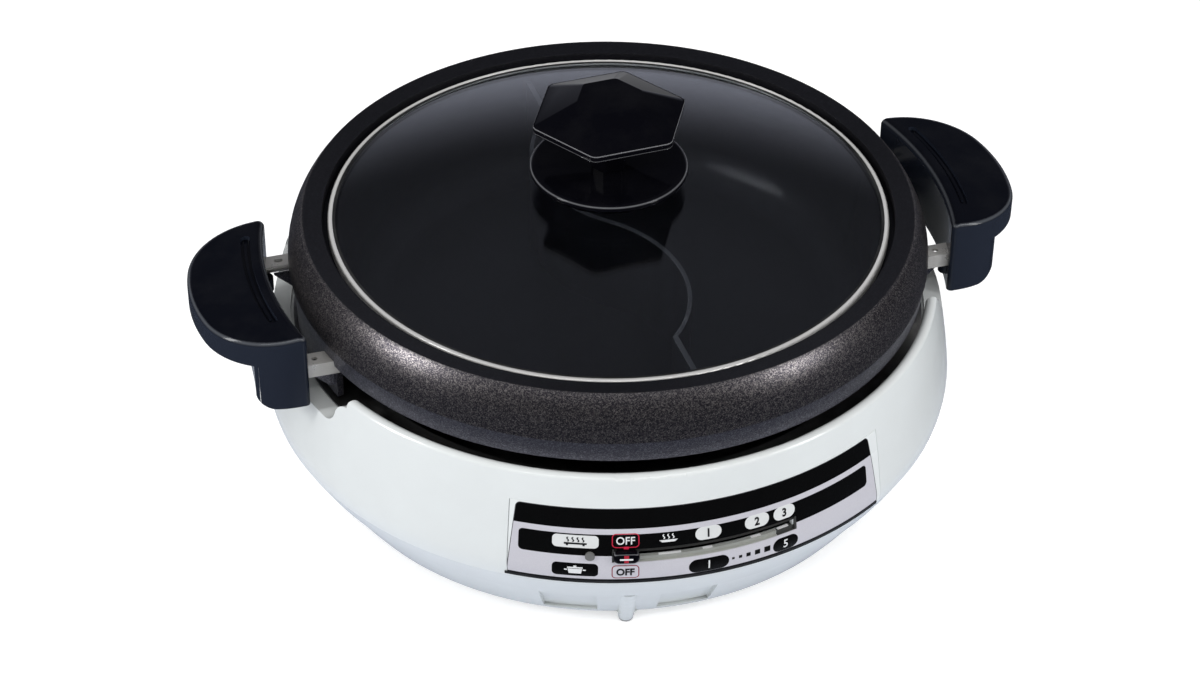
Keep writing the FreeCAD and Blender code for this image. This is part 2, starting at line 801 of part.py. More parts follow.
def is_top_edge(edge):
    """Edge of the handle's sloping top face."""
    slope = value("handle_fall / (handle_reach - handle_inner)")
    points = [vertex.Point for vertex in edge.Vertexes]
    heights = [value("handle_top") - slope * (math.hypot(point.x, point.y) - value("handle_inner"))
               for point in points]
    return all(abs(point.z - height) < 1e-3 for point, height in zip(points, heights))


def cover_screw_circles(sign):
    return [(f"{sign} * cover_screw_place", f"{end} * cover_screw_offset", "cover_screw_radius")
            for end in (-1, 1)]


def make_handle_cover(side, sign):
    """Lower cover of the handle: a lip down the outer side of the leg and a plate under the grip."""
    cover = new_body(f"{side}_handle_cover")
    ahead, back = ("left", "right") if sign > 0 else ("right", "left")
    inner, outer = "cover_gap", "cover_gap + cover_lip"
    lip = new_sketch(cover, "XY_Plane", [[
        leg_side(sign, inner, "-handle_half - 2", f"leg_bow - ({inner})", ahead),
        leg_side(sign, outer, "-handle_half - 2"),
        leg_side(sign, outer, "handle_half + 2", f"leg_bow - ({outer})", back),
        leg_side(sign, inner, "handle_half + 2"),
    ]], lift="leg_bottom")
    extruded(cover, lip, "handle_under - leg_bottom")
    trim_leg(cover, sign)
    bow = "(handle_bow - cover_inset)"
    half = "(handle_half - 2.5 * cover_inset)"
    reach = f"(handle_reach - cover_inset - {bow} + sqrt({bow} ^ 2 - {half} ^ 2))"
    middle = "cover_gap + cover_lip / 2"
    plate = new_sketch(cover, "XY_Plane", [[
        leg_side(sign, middle, f"-{half}", f"leg_bow - ({middle})", ahead),
        (f"{sign} * {reach}", f"-{half}"),
        (f"{sign} * {reach}", half, bow, ahead),
        leg_side(sign, middle, half),
    ]], lift="handle_under - cover_plate")
    extruded(cover, plate, "cover_plate")
    holes = new_sketch(cover, "XY_Plane", circles=cover_screw_circles(sign), lift="handle_under")
    extruded(cover, holes, "cover_plate", cut=True)
    places = [(value(x), value(y), value("handle_under - cover_plate"))
              for x, y, radius in cover_screw_circles(sign)]
    fastener_group(f"{side}_handle_screws", places, "2 * cover_screw_radius", "1.2",
                   "cover_screw_radius", "cover_screw_length", head_below=True)


def make_arm(side, sign, end, end_sign):
    """Folded sheet-steel arm: a flat top flange, an outer web and a turned-in lower lip."""
    arm = new_body(f"{side}_{end}_arm")
    outer = f"{end_sign} * (arm_offset + arm_width / 2)"
    inner = f"{end_sign} * (arm_offset - arm_width / 2)"
    web = f"{end_sign} * (arm_offset + arm_width / 2 - arm_sheet)"
    lip = f"{end_sign} * (arm_offset + arm_width / 2 - 4)"
    section = new_sketch(arm, "YZ_Plane", [[
        (outer, "arm_top"),
        (inner, "arm_top"),
        (inner, "arm_top - arm_sheet"),
        (web, "arm_top - arm_sheet"),
        (web, "arm_top - arm_depth + arm_sheet"),
        (lip, "arm_top - arm_depth + arm_sheet"),
        (lip, "arm_top - arm_depth"),
        (outer, "arm_top - arm_depth"),
    ]], lift=f"{sign} * arm_start")
    extruded(arm, section, "arm_end - arm_start", backwards=sign < 0)
    hole_x = f"{sign} * (arm_start + arm_hole_place)"
    hole_y = f"{end_sign} * arm_offset"
    rivet = (f"{sign} * (arm_start + rivet_place)", f"{end_sign} * (arm_offset - 1)", "rivet_radius")
    slots, circles = [], [rivet]
    if end == "rear":
        bend = ("arm_hole_radius + 0.05", "left")
        slots.append([
            (f"{hole_x} - arm_slot_half", f"{hole_y} - arm_hole_radius", *bend),
            (f"{hole_x} + arm_slot_half", f"{hole_y} - arm_hole_radius"),
            (f"{hole_x} + arm_slot_half", f"{hole_y} + arm_hole_radius", *bend),
            (f"{hole_x} - arm_slot_half", f"{hole_y} + arm_hole_radius"),
        ])
    else:
        circles.append((hole_x, hole_y, "arm_hole_radius"))
    holes = new_sketch(arm, "XY_Plane", slots, circles, lift="arm_top + 1")
    extruded(arm, holes, "arm_sheet + 2", cut=True)


def make_pan_group():
    make_pan()
    for side, sign in (("left", -1), ("right", 1)):
        make_handle(side, sign)
        make_handle_cover(side, sign)
        for end, end_sign in (("front", -1), ("rear", 1)):
            make_arm(side, sign, end, end_sign)
        rivet_x = sign * value("arm_start + rivet_place")
        rivet_y = value("arm_offset - 1")
        top = value("arm_top")
        fastener_group(f"{side}_arm_rivets", [(rivet_x, y, top) for y in (-rivet_y, rivet_y)],
                       "3.2", "1.4", "rivet_radius", "rivet_length")


# ---------------------------------------------------------------- base
SCREW_ANGLES = (45, 135, 225, 315)
COVER_SCREW_CIRCLE = "cover_radius - 4.5"
SHIELD_SCREW_CIRCLE = "rim_inner - 6.5"


def screw_circles(circle, radius):
    return [(*polar(circle, angle), radius) for angle in SCREW_ANGLES]


def screw_places(circle, height):
    reach = value(circle)
    return [(reach * math.cos(math.radians(angle)), reach * math.sin(math.radians(angle)),
             value(height)) for angle in SCREW_ANGLES]


def panel_floor(step):
    """Inner face of the control panel from bottom to top, moved out by a step."""
    return [
        (f"-panel_inner_bottom - ({step})", "panel_bottom"),
        (f"-panel_inner_middle - ({step})", "belly_upper_height", f"belly_bow - 1 + {step}", "right"),
        (f"-panel_inner_top - ({step})", "panel_top", f"flank_bow - 1 + {step}", "right"),
    ]


def cut_track(part, floor):
    """Curved trough that the slider runs in."""
    track = new_sketch(part, "YZ_Plane", [
        box_loop("-belly_upper_radius - 10", "track_height - track_width / 2",
                 f"-({floor})", "track_height + track_width / 2")], turn="track_middle")
    turned(part, track, "2 * track_half_angle", cut=True, middle=True)


def cut_lamp_hole(part):
    hole = new_sketch(part, "XZ_Plane", circles=[("0", "track_height", "lens_radius")],
                      turn="lamp_angle")
    extruded(part, hole, "belly_upper_radius + 10", cut=True, backwards=True)


def make_housing():
    """White moulded shell: rolled rim, bowed flank, tucked-in skirt and four feet."""
    housing = new_body("outer_housing")
    wall = "housing_wall"
    turned(housing, new_sketch(housing, "XZ_Plane", [[
        ("floor_flange_inner", "base_bottom"),
        ("base_radius", "base_bottom"),
        ("lip_radius - lip_step", "lip_height - 0.8", "tuck_bow", "left"),
        ("lip_radius", "lip_height"),
        ("belly_lower_radius", "belly_lower_height", "tuck_bow", "left"),
        ("belly_upper_radius", "belly_upper_height", "belly_bow", "left"),
        ("rim_outer", "rim_height", "flank_bow", "left"),
        ("rim_inner", "rim_height", "(rim_outer - rim_inner) / 2 + 0.05", "left"),
        ("rim_inner", "ledge_height"),
        ("ledge_inner", "ledge_height"),
        ("ledge_inner", "ledge_height - ledge_thickness"),
        ("rim_outer - 2", "ledge_height - ledge_thickness"),
        ("rim_outer + 2.4", "ledge_height - ledge_thickness - 6"),
        (f"belly_upper_radius - {wall}", "belly_upper_height", f"flank_bow - {wall}", "right"),
        (f"belly_lower_radius - {wall}", "belly_lower_height + 1", f"belly_bow - {wall}", "right"),
        (f"base_radius - {wall}", f"base_bottom + {wall}", f"tuck_bow - {wall}", "right"),
        ("floor_flange_inner", f"base_bottom + {wall}"),
    ]]))

    # feet: tapered half-round ribs that grow out of the skirt
    place = "270 + foot_angle"
    tips = [
        new_sketch(housing, "XY_Plane", circles=[(*polar("foot_place", place), "foot_radius")],
                   lift="pad_height"),
        new_sketch(housing, "XY_Plane",
                   circles=[(*polar("foot_top_place", place), "foot_top_radius")],
                   lift="lip_height - 2"),
    ]
    rib = lofted(housing, tips)
    roots = [
        new_sketch(housing, "XY_Plane",
                   circles=[(*polar("foot_place", place), "foot_radius + 0.3")],
                   lift="base_bottom - 3.5"),
        new_sketch(housing, "XY_Plane",
                   circles=[(*polar("foot_place + 1.2", place), "foot_radius + 3.2")],
                   lift="base_bottom + 1"),
    ]
    root = lofted(housing, roots)
    plug_hole = new_sketch(housing, "XY_Plane", circles=[(*polar("foot_place", place), "1.6")],
                           lift="pad_height")
    plug = extruded(housing, plug_hole, "5", cut=True, backwards=True)
    around(housing, [rib, root, plug], 4)

    # shallow fields moulded into the skirt on both sides of each foot
    fields = []
    for side in (-1, 1):
        field = new_sketch(housing, "XZ_Plane", [[
            ("base_radius - 0.2", "base_bottom + 3"),
            ("lip_radius - lip_step - 3.8", "lip_height - 3.5", "tuck_bow", "left"),
            ("lip_radius + 8", "lip_height - 3.5"),
            ("lip_radius + 8", "base_bottom + 3"),
        ]], turn=f"{place} + {side} * field_offset")
        fields.append(turned(housing, field, "field_angle", cut=True, middle=True))
    around(housing, fields, 4)

    # a scooped notch in the rim at each side clears the handle arms and aprons
    n, f, r = "notch_half_width", "notch_floor", "notch_round"
    scoop = new_sketch(housing, "YZ_Plane", [[
        (f"-{n}", f, r, "left"),
        (n, f),
        (f"{n} + {r}", f"{f} + {r}", r, "left"),
        (f"{n} + 2 * {r}", f"{f} + 2 * {r}", r, "right"),
        (f"{n} + 2 * {r}", f"{f} + 4 * {r}"),
        (f"-{n} - 2 * {r}", f"{f} + 4 * {r}"),
        (f"-{n} - 2 * {r}", f"{f} + 2 * {r}"),
        (f"-{n} - {r}", f"{f} + {r}", r, "right"),
    ]])
    extruded(housing, scoop, "600", cut=True, both_ways=True)

    recess = panel_floor("0") + [
        ("-belly_upper_radius - 10", "panel_top + 0.1"),
        ("-belly_upper_radius - 10", "panel_bottom"),
    ]
    turned(housing, new_sketch(housing, "YZ_Plane", [recess]), "2 * panel_half_angle + 0.3",
           cut=True, middle=True)
    cut_track(housing, "track_floor")
    slot = new_sketch(housing, "YZ_Plane", [
        box_loop("-track_floor - 1", "track_height - slot_width / 2",
                 "-belly_lower_radius + 12", "track_height + slot_width / 2")],
        turn="track_middle")
    turned(housing, slot, "2 * slot_half_angle", cut=True, middle=True)
    cut_lamp_hole(housing)

    opening = new_sketch(housing, "XZ_Plane", [
        box_loop("-inlet_width / 2", "inlet_middle - inlet_height / 2",
                 "inlet_width / 2", "inlet_middle + inlet_height / 2")])
    extruded(housing, opening, "belly_upper_radius + 10", cut=True)

    cover_holes = new_sketch(housing, "XY_Plane", circles=screw_circles(COVER_SCREW_CIRCLE, "1.5"),
                             lift="base_bottom + 6")
    extruded(housing, cover_holes, "7", cut=True)
    shield_holes = new_sketch(housing, "XY_Plane",
                              circles=screw_circles(SHIELD_SCREW_CIRCLE, "1.5"),
                              lift="ledge_height + 1")
    extruded(housing, shield_holes, "ledge_thickness + 2", cut=True)


def make_panel():
    """Thin curved fascia, with the slider track and the lamp hole through it."""
    panel = new_body("control_panel")
    outer = panel_floor("panel_thickness")
    back = [
        outer[2][:2],
        (*outer[1][:2], outer[2][2], "left"),
        (*outer[0][:2], outer[1][2], "left"),
    ]
    turned(panel, new_sketch(panel, "YZ_Plane", [panel_floor("0") + back]),
           "2 * panel_half_angle", middle=True)
    cut_track(panel, "track_floor")
    cut_lamp_hole(panel)


def radial_peg(label, radius, length, start, angle, height):
    """Round peg that lies along a radius."""
    peg = doc.addObject("Part::Cylinder", label)
    peg.Label = label
    bind(peg, "Radius", radius)
    bind(peg, "Height", length)
    bearing = math.radians(270 + value(angle))
    outward = FreeCAD.Vector(math.cos(bearing), math.sin(bearing), 0)
    place = outward * value(start) + FreeCAD.Vector(0, 0, value(height))
    peg.Placement = FreeCAD.Placement(place, FreeCAD.Rotation(Z_AXIS, outward))
    return peg


def make_lamp():
    """Lens in the panel, the lamp behind it and the collar that holds the lamp to the housing."""
    behind_lens = "belly_upper_radius - lens_length + 0.6"
    radial_peg("indicator_lens", "lens_radius", "lens_length", behind_lens,
               "lamp_angle", "track_height")
    radial_peg("indicator_lamp", "lens_radius - 0.3", "lamp_length",
               f"{behind_lens} - lamp_length", "lamp_angle", "track_height")
    holder_start = f"{behind_lens} - lamp_length + 2"
    holder_end = "belly_upper_radius - housing_wall - 1.8"
    block = radial_peg("lamp_holder_block", "lamp_holder_radius", f"{holder_end} - ({holder_start})",
                       holder_start, "lamp_angle", "track_height")
    bore = radial_peg("lamp_holder_bore", "lens_radius", "2 * lamp_length", holder_start,
                      "lamp_angle", "track_height")
    holder = doc.addObject("Part::Cut", "lamp_holder")
    holder.Label = "lamp_holder"
    holder.Base = block
    holder.Tool = bore


def make_shield():
    """Steel heat-shield dish that hangs from the housing's inner ledge."""
    shield = new_body("heat_shield")
    sheet = "shield_sheet"
    turned(shield, new_sketch(shield, "XZ_Plane", [[
        ("sensor_radius + 2.1", "shield_floor"),
        ("shield_lower - shield_corner", "shield_floor"),
        ("shield_lower", "shield_floor + shield_corner", "shield_corner", "left"),
        ("shield_inner", "ledge_height"),
        ("rim_inner - 1.5", "ledge_height"),
        ("rim_inner - 1.5", f"ledge_height + {sheet}"),
        (f"shield_inner - {sheet}", f"ledge_height + {sheet}"),
        (f"shield_lower - {sheet}", "shield_floor + shield_corner"),
        ("shield_lower - shield_corner", f"shield_floor + {sheet}",
         f"shield_corner - {sheet}", "right"),
        ("sensor_radius + 2.1", f"shield_floor + {sheet}"),
    ]]))
    holes = [(x, y, "heater_tube + 0.7") for x, y in cold_ends()]
    openings = new_sketch(shield, "XY_Plane", circles=holes, lift="shield_floor - 2")
    extruded(shield, openings, "5", cut=True, backwards=True)
    screw_holes = new_sketch(shield, "XY_Plane", circles=screw_circles(SHIELD_SCREW_CIRCLE, "1.5"),
                             lift=f"ledge_height + {sheet} + 1")
    extruded(shield, screw_holes, f"{sheet} + 2", cut=True)
    fastener_group("shield_screws", screw_places(SHIELD_SCREW_CIRCLE, f"ledge_height + {sheet}"),
                   "3", "1.8", "1.5", "4.5")


HEATER_GAP = 10
HEATER_BEND = 8


def cold_ends():
    """Centres of the heater's two upright ends, at the back of the ring."""
    centres = []
    for side in (1, -1):
        angle = math.radians(90 + side * HEATER_GAP)
        radius = value("heater_radius")
        x = radius * math.cos(angle) + side * HEATER_BEND * math.sin(angle)
        y = radius * math.sin(angle) - side * HEATER_BEND * math.cos(angle)
        centres.append((str(x), str(y)))
    return centres


def make_heater():
    """Sheathed heating ring whose ends bend down through the shield."""
    radius, height, tube = (value(name) for name in ("heater_radius", "heater_height", "heater_tube"))
    drop = value("heater_drop")

    def on_ring(degrees):
        angle = math.radians(degrees)
        return FreeCAD.Vector(radius * math.cos(angle), radius * math.sin(angle), height)

    def bend(side):
        angle = math.radians(90 + side * HEATER_GAP)
        along = FreeCAD.Vector(side * math.sin(angle), -side * math.cos(angle), 0)
        start = on_ring(90 + side * HEATER_GAP)
        slant = HEATER_BEND * math.sqrt(0.5)
        middle = start + along * slant - Z_AXIS * (HEATER_BEND - slant)
        end = start + along * HEATER_BEND - Z_AXIS * HEATER_BEND
        return start, middle, end

    first, first_middle, first_end = bend(1)
    last, last_middle, last_end = bend(-1)
    down = Z_AXIS * (drop - HEATER_BEND)
    path = Part.Wire([
        Part.LineSegment(first_end - down, first_end).toShape(),
        Part.Arc(first_end, first_middle, first).toShape(),
        Part.Arc(first, on_ring(180), on_ring(270)).toShape(),
        Part.Arc(on_ring(270), on_ring(0), last).toShape(),
        Part.Arc(last, last_middle, last_end).toShape(),
        Part.LineSegment(last_end, last_end - down).toShape(),
    ])
    ring = Part.Wire([Part.Circle(first_end - down, Z_AXIS, tube).toShape()])
    heater = doc.addObject("Part::Feature", "heating_element")
    heater.Label = "heating_element"
    heater.Shape = path.makePipeShell([ring], True, False)

    clips = []
    floor = value("shield_floor + shield_sheet")
    for degrees in (150, 270, 30):
        angle = math.radians(degrees)
        centre = FreeCAD.Vector(radius * math.cos(angle), radius * math.sin(angle), floor)
        post = Part.makeBox(2 * tube + 6, 8, height - floor, FreeCAD.Vector(-tube - 3, -4, 0))
        post.rotate(FreeCAD.Vector(), Z_AXIS, degrees)
        post.translate(centre)
        groove = Part.makeTorus(radius, tube, FreeCAD.Vector(0, 0, height))
        clips.append(post.cut(groove))
    supports = doc.addObject("Part::Feature", "heater_supports")
    supports.Label = "heater_supports"
    supports.Shape = Part.makeCompound(clips)

    # ceramic bushes round the two ends where they pass the shield
    seals = []
    bush = value("heater_seal_radius")
    low = floor - value("heater_seal_height")
    for x, y in cold_ends():
        foot = FreeCAD.Vector(float(x), float(y), low)
        collar = Part.makeCylinder(bush, value("heater_seal_height - shield_sheet"), foot)
        sleeve = Part.makeCylinder(tube + 0.7, value("heater_seal_height"), foot)
        seals.append(collar.fuse(sleeve).cut(Part.makeCylinder(tube, drop, foot)))
    bushes = doc.addObject("Part::Feature", "heater_seals")
    bushes.Label = "heater_seals"
    bushes.Shape = Part.makeCompound(seals)


def make_sensor():
    """Temperature sensor: a spring-loaded cap that slides in a sleeve through the shield."""
    sleeve = new_body("sensor_sleeve")
    floor = "shield_floor + shield_sheet"
    turned(sleeve, new_sketch(sleeve, "XZ_Plane", [[
        (0, "sleeve_bottom"),
        ("sensor_radius + 2", "sleeve_bottom"),
        ("sensor_radius + 2", floor),
        ("sensor_radius + 8", floor),
        ("sensor_radius + 8", f"{floor} + 1.2"),
        ("sensor_radius + 2", f"{floor} + 1.2"),
        ("sensor_radius + 2", f"{floor} + 8"),
        ("sensor_radius + 0.3", f"{floor} + 8"),
        ("sensor_radius + 0.3", "sleeve_bottom + 2"),
        (0, "sleeve_bottom + 2"),
    ]]))
    cap = new_body("sensor_cap")
    turned(cap, new_sketch(cap, "XZ_Plane", [[
        (0, "sensor_top - cap_skin"),
        ("sensor_radius - cap_skin", "sensor_top - cap_skin"),
        ("sensor_radius - cap_skin", "sensor_top - cap_length"),
        ("sensor_radius", "sensor_top - cap_length"),
        ("sensor_radius", "sensor_top - cap_skin"),
        ("sensor_radius - cap_skin", "sensor_top", "cap_skin", "left"),
        (0, "sensor_top"),
    ]]))
    wire, coil = 0.6, value("sensor_radius") - 3
    low, high = value("sleeve_bottom + 2") + wire + 0.2, value("sensor_top - cap_skin") - wire - 0.2
    helix = Part.makeHelix((high - low) / 5, high - low, coil)
    ring = Part.Wire([Part.Circle(FreeCAD.Vector(coil, 0, 0), Y_AXIS, wire).toShape()])
    spring = doc.addObject("Part::Feature", "sensor_spring")
    spring.Label = "sensor_spring"
    spring.Shape = Part.Wire(helix.Edges).makePipeShell([ring], True, False)
    spring.Placement.Base = FreeCAD.Vector(0, 0, low)


# ---------------------------------------------------------------- control lever
PRESSURE_ANGLE = math.radians(20)


def tooth_loop(teeth, bearing, addendum):
    """One involute tooth at a bearing in degrees, thinned a little for running play."""
    module = value("gear_module")
    pitch = module * teeth / 2
    base = pitch * math.cos(PRESSURE_ANGLE)
    root = pitch - 1.25 * module
    tip = pitch + addendum * module

    def involute(angle):
        return math.tan(angle) - angle

    half = math.pi / (2 * teeth) - 0.08 / pitch

    def half_angle(radius):
        reach = min(base / radius, 1)
        return half + involute(PRESSURE_ANGLE) - involute(math.acos(reach))

    start = max(root, base)
    steps = [root - 0.5] + [start + (tip - start) * k / 4 for k in range(5)]
    flank = [(radius, half_angle(radius)) for radius in steps]
    outline = [(radius, -angle) for radius, angle in flank] + flank[::-1]
    turn = math.radians(bearing)
    return [(str(radius * math.cos(turn + angle)), str(radius * math.sin(turn + angle)))
            for radius, angle in outline]


def make_lever():
    """Flat lever on a centre pivot, with a geared sector and an upturned end for the slider."""
    lever = new_body("control_lever")
    plate, thick = "lever_plate", "lever_thickness"
    hub = new_sketch(lever, "XY_Plane", circles=[("0", "0", "hub_radius")], lift=f"{plate} - 0.5")
    extruded(lever, hub, "hub_height")
    arm = new_sketch(lever, "XY_Plane", [[
        ("-lever_root_half", "0"), ("-lever_tip_half", "-riser_radius - 4"),
        ("lever_tip_half", "-riser_radius - 4"), ("lever_root_half", "0")]],
        lift=plate)
    extruded(lever, arm, thick)
    module = value("gear_module")
    pitch = module * value("sector_teeth") / 2
    first_tooth = 270 + value("pinion_angle - lever_off_angle") - 14 * 360 / value("sector_teeth")
    teeth = int(value("sector_cut_teeth"))
    span = (teeth - 1) * 360 / value("sector_teeth")
    root = str(pitch - 1.25 * module)
    wing = new_sketch(lever, "XY_Plane", [
        sector("sector_inner", root, "268", str(first_tooth + span + 2))], lift=plate)
    extruded(lever, wing, thick)
    spoke = str(first_tooth + span - 4)
    brace = new_sketch(lever, "XY_Plane", [[
        polar("brace_inner", f"{spoke} - 60"), polar("brace_outer", f"{spoke} - 2.5"),
        polar("brace_outer", f"{spoke} + 2.5"), polar("brace_inner", f"{spoke} + 60")]],
        lift=plate)
    extruded(lever, brace, thick)
    tooth = new_sketch(
        lever, "XY_Plane", [tooth_loop(value("sector_teeth"), first_tooth, 0.8)], lift=plate)
    around(lever, [extruded(lever, tooth, thick)], teeth, span)

    riser = new_sketch(lever, "XY_Plane", [
        box_loop("-lever_tip_half", "-riser_radius - 4", "lever_tip_half", "-riser_radius")],
        lift=plate)
    extruded(lever, riser, f"track_height + tongue_thickness / 2 - {plate}")
    tongue = new_sketch(lever, "XY_Plane", [
        box_loop("-tongue_half", "-belly_upper_radius - 2", "tongue_half", "-riser_radius")],
        lift="track_height - tongue_thickness / 2")
    extruded(lever, tongue, "tongue_thickness")
    bore = new_sketch(lever, "XY_Plane", circles=[("0", "0", "pivot_radius + running_gap")],
                      lift=f"{plate} - 1")
    extruded(lever, bore, "hub_height + 2", cut=True, backwards=True)
    lever.Placement.Rotation = FreeCAD.Rotation(Z_AXIS, value("lever_off_angle"))

    knob = new_body("slider_knob")
    turned(knob, new_sketch(knob, "YZ_Plane", [
        [("-track_floor - 0.4", "track_height - slider_half"),
         ("-track_floor - 0.4", "track_height + slider_half"),
         ("-track_floor - 5.2", "track_height + 3"),
         ("-track_floor - 5.8", "track_height + 0.8"),
         ("-track_floor - 5.8", "track_height - 0.8"),
         ("-track_floor - 5.2", "track_height - 3")]]), "slider_angle", middle=True)
    socket = new_sketch(knob, "XZ_Plane", [
        box_loop("-tongue_half - running_gap",
                 "track_height - tongue_thickness / 2 - running_gap",
                 "tongue_half + running_gap",
                 "track_height + tongue_thickness / 2 + running_gap")])
    extruded(knob, socket, "belly_upper_radius + 2.05", cut=True, backwards=True)
    knob.Placement.Rotation = FreeCAD.Rotation(Z_AXIS, value("lever_off_angle"))

    pivot = new_body("lever_pivot")
    turned(pivot, new_sketch(pivot, "XZ_Plane", [[
        (0, f"{plate} - 11"),
        ("pivot_radius", f"{plate} - 11"),
        ("pivot_radius", f"{plate} + 7.4"),
        ("pivot_radius + 2.5", f"{plate} + 7.4"),
        ("pivot_radius + 2.5", f"{plate} + 9.6"),
        (0, f"{plate} + 9.6"),
    ]]))


def pinion_place():
    """Centre of the pinion, in mesh with the sector, and the bearing it has from the pivot."""
    bearing = 270 + value("pinion_angle")
    reach = value("gear_module * (sector_teeth + pinion_teeth) / 2")
    turn = math.radians(bearing)
    return FreeCAD.Vector(reach * math.cos(turn), reach * math.sin(turn), 0), bearing


def make_thermostat():
    place, bearing = pinion_place()
    pinion = new_body("thermostat_pinion")
    teeth = int(value("pinion_teeth"))
    module = value("gear_module")
    plate = "lever_plate"
    blank = new_sketch(pinion, "XY_Plane",
                       circles=[("0", "0", str(module * (teeth / 2 - 1.25)))], lift=f"{plate} - 0.5")
    extruded(pinion, blank, "lever_thickness + 1")
    tooth = new_sketch(pinion, "XY_Plane", [tooth_loop(teeth, 0, 0.8)], lift=f"{plate} - 0.5")
    around(pinion, [extruded(pinion, tooth, "lever_thickness + 1")], teeth)
    collar = new_sketch(pinion, "XY_Plane", circles=[("0", "0", "5")], lift=f"{plate} - 0.5")
    extruded(pinion, collar, "lever_thickness + 3")
    shaft = new_sketch(pinion, "XY_Plane", circles=[("0", "0", "pivot_radius")], lift=f"{plate} - 4")
    extruded(pinion, shaft, "shaft_length")
    pinion.Placement = FreeCAD.Placement(
        place, FreeCAD.Rotation(Z_AXIS, bearing + 180 + 180 / teeth))

    case = new_body("thermostat")
    low = f"{plate} + lever_thickness + 4"
    block = new_sketch(case, "XY_Plane", [
        box_loop("-thermostat_half_length", "-thermostat_half_width",
                 "thermostat_half_length", "thermostat_half_width")], lift=low)
    extruded(case, block, "thermostat_height")
    tabs = new_sketch(case, "XY_Plane", [
        box_loop("thermostat_half_length", f"{middle} - 2.5",
                 "thermostat_half_length + tab_length", f"{middle} + 2.5")
        for middle in (-6.5, 6.5)], lift=f"{low} + 6")
    extruded(case, tabs, "0.8")
    bore = new_sketch(case, "XY_Plane", circles=[("0", "0", "pivot_radius + running_gap")],
                      lift=f"{low} - 1")
    extruded(case, bore, "13", cut=True, backwards=True)
    case.Placement = FreeCAD.Placement(place, FreeCAD.Rotation(Z_AXIS, bearing))

    bracket = new_body("thermostat_bracket")
    top = f"{low} + thermostat_height"
    section = new_sketch(bracket, "XZ_Plane", [[
        ("-bracket_half", top),
        ("bracket_half", top),
        ("bracket_half", f"{top} + bracket_sheet"),
        ("-bracket_half + bracket_sheet", f"{top} + bracket_sheet"),
        ("-bracket_half + bracket_sheet", "shield_floor - bracket_sheet"),
        ("0", "shield_floor - bracket_sheet"),
        ("0", "shield_floor"),
        ("-bracket_half", "shield_floor"),
    ]])
    extruded(bracket, section, "thermostat_height", both_ways=True)
    bracket.Placement = FreeCAD.Placement(place, FreeCAD.Rotation(Z_AXIS, bearing))


# ---------------------------------------------------------------- underside and inlet
def make_cover():
    """Bottom cover with vent slots and the boss of the lever's pivot."""
    cover = new_body("bottom_cover")
    top = "cover_bottom + cover_sheet"
    turned(cover, new_sketch(cover, "XZ_Plane", [[
        (0, "cover_bottom"),
        ("cover_radius - 0.8", "cover_bottom"),
        ("cover_radius", "cover_bottom + 0.8"),
        ("cover_radius", top),
        ("floor_flange_inner - 1", top),
        ("floor_flange_inner - 1", f"{top} + 3"),
        ("floor_flange_inner - 3.5", f"{top} + 3"),
        ("floor_flange_inner - 3.5", f"{top} - 1"),
        ("hub_radius - 1", f"{top} - 1"),
        ("hub_radius - 1", "lever_plate - 1"),
        (0, "lever_plate - 1"),
    ]]))
    vent = new_sketch(cover, "XY_Plane", [
        [("vent_inner", "-vent_half"), ("vent_outer", "-vent_half"),
         ("vent_outer", "vent_half", "vent_half + 0.05", "left"), ("vent_inner", "vent_half")]],
        lift="cover_bottom - 1")
    around(cover, [extruded(cover, vent, "6", cut=True, backwards=True)], 24)
    holes = new_sketch(cover, "XY_Plane", circles=screw_circles(COVER_SCREW_CIRCLE, "1.5"),
                       lift="cover_bottom - 1")
    extruded(cover, holes, "6", cut=True, backwards=True)
    pivot_hole = new_sketch(cover, "XY_Plane", circles=[("0", "0", "pivot_radius")],
                            lift="lever_plate")
    extruded(cover, pivot_hole, "11", cut=True)
    fastener_group("cover_screws", screw_places(COVER_SCREW_CIRCLE, "cover_bottom"),
                   "3.4", "1.8", "1.5", "6.5", head_below=True)


def make_foot_pads():
    for number in range(4):
        pad = new_body(f"foot_pad_{number + 1}")
        turned(pad, new_sketch(pad, "XZ_Plane", [[
            (0, 0),
            ("foot_radius - 0.8", 0),
            ("foot_radius - 0.2", 0.6),
            ("foot_radius - 0.2", "pad_height"),
            ("1.55", "pad_height"),
            ("1.55", "pad_height + 4.5"),
            (0, "pad_height + 4.5"),
        ]]))
        turn = math.radians(270 + value("foot_angle") + 90 * number)
        reach = value("foot_place")
        pad.Placement.Base = FreeCAD.Vector(reach * math.cos(turn), reach * math.sin(turn), 0)


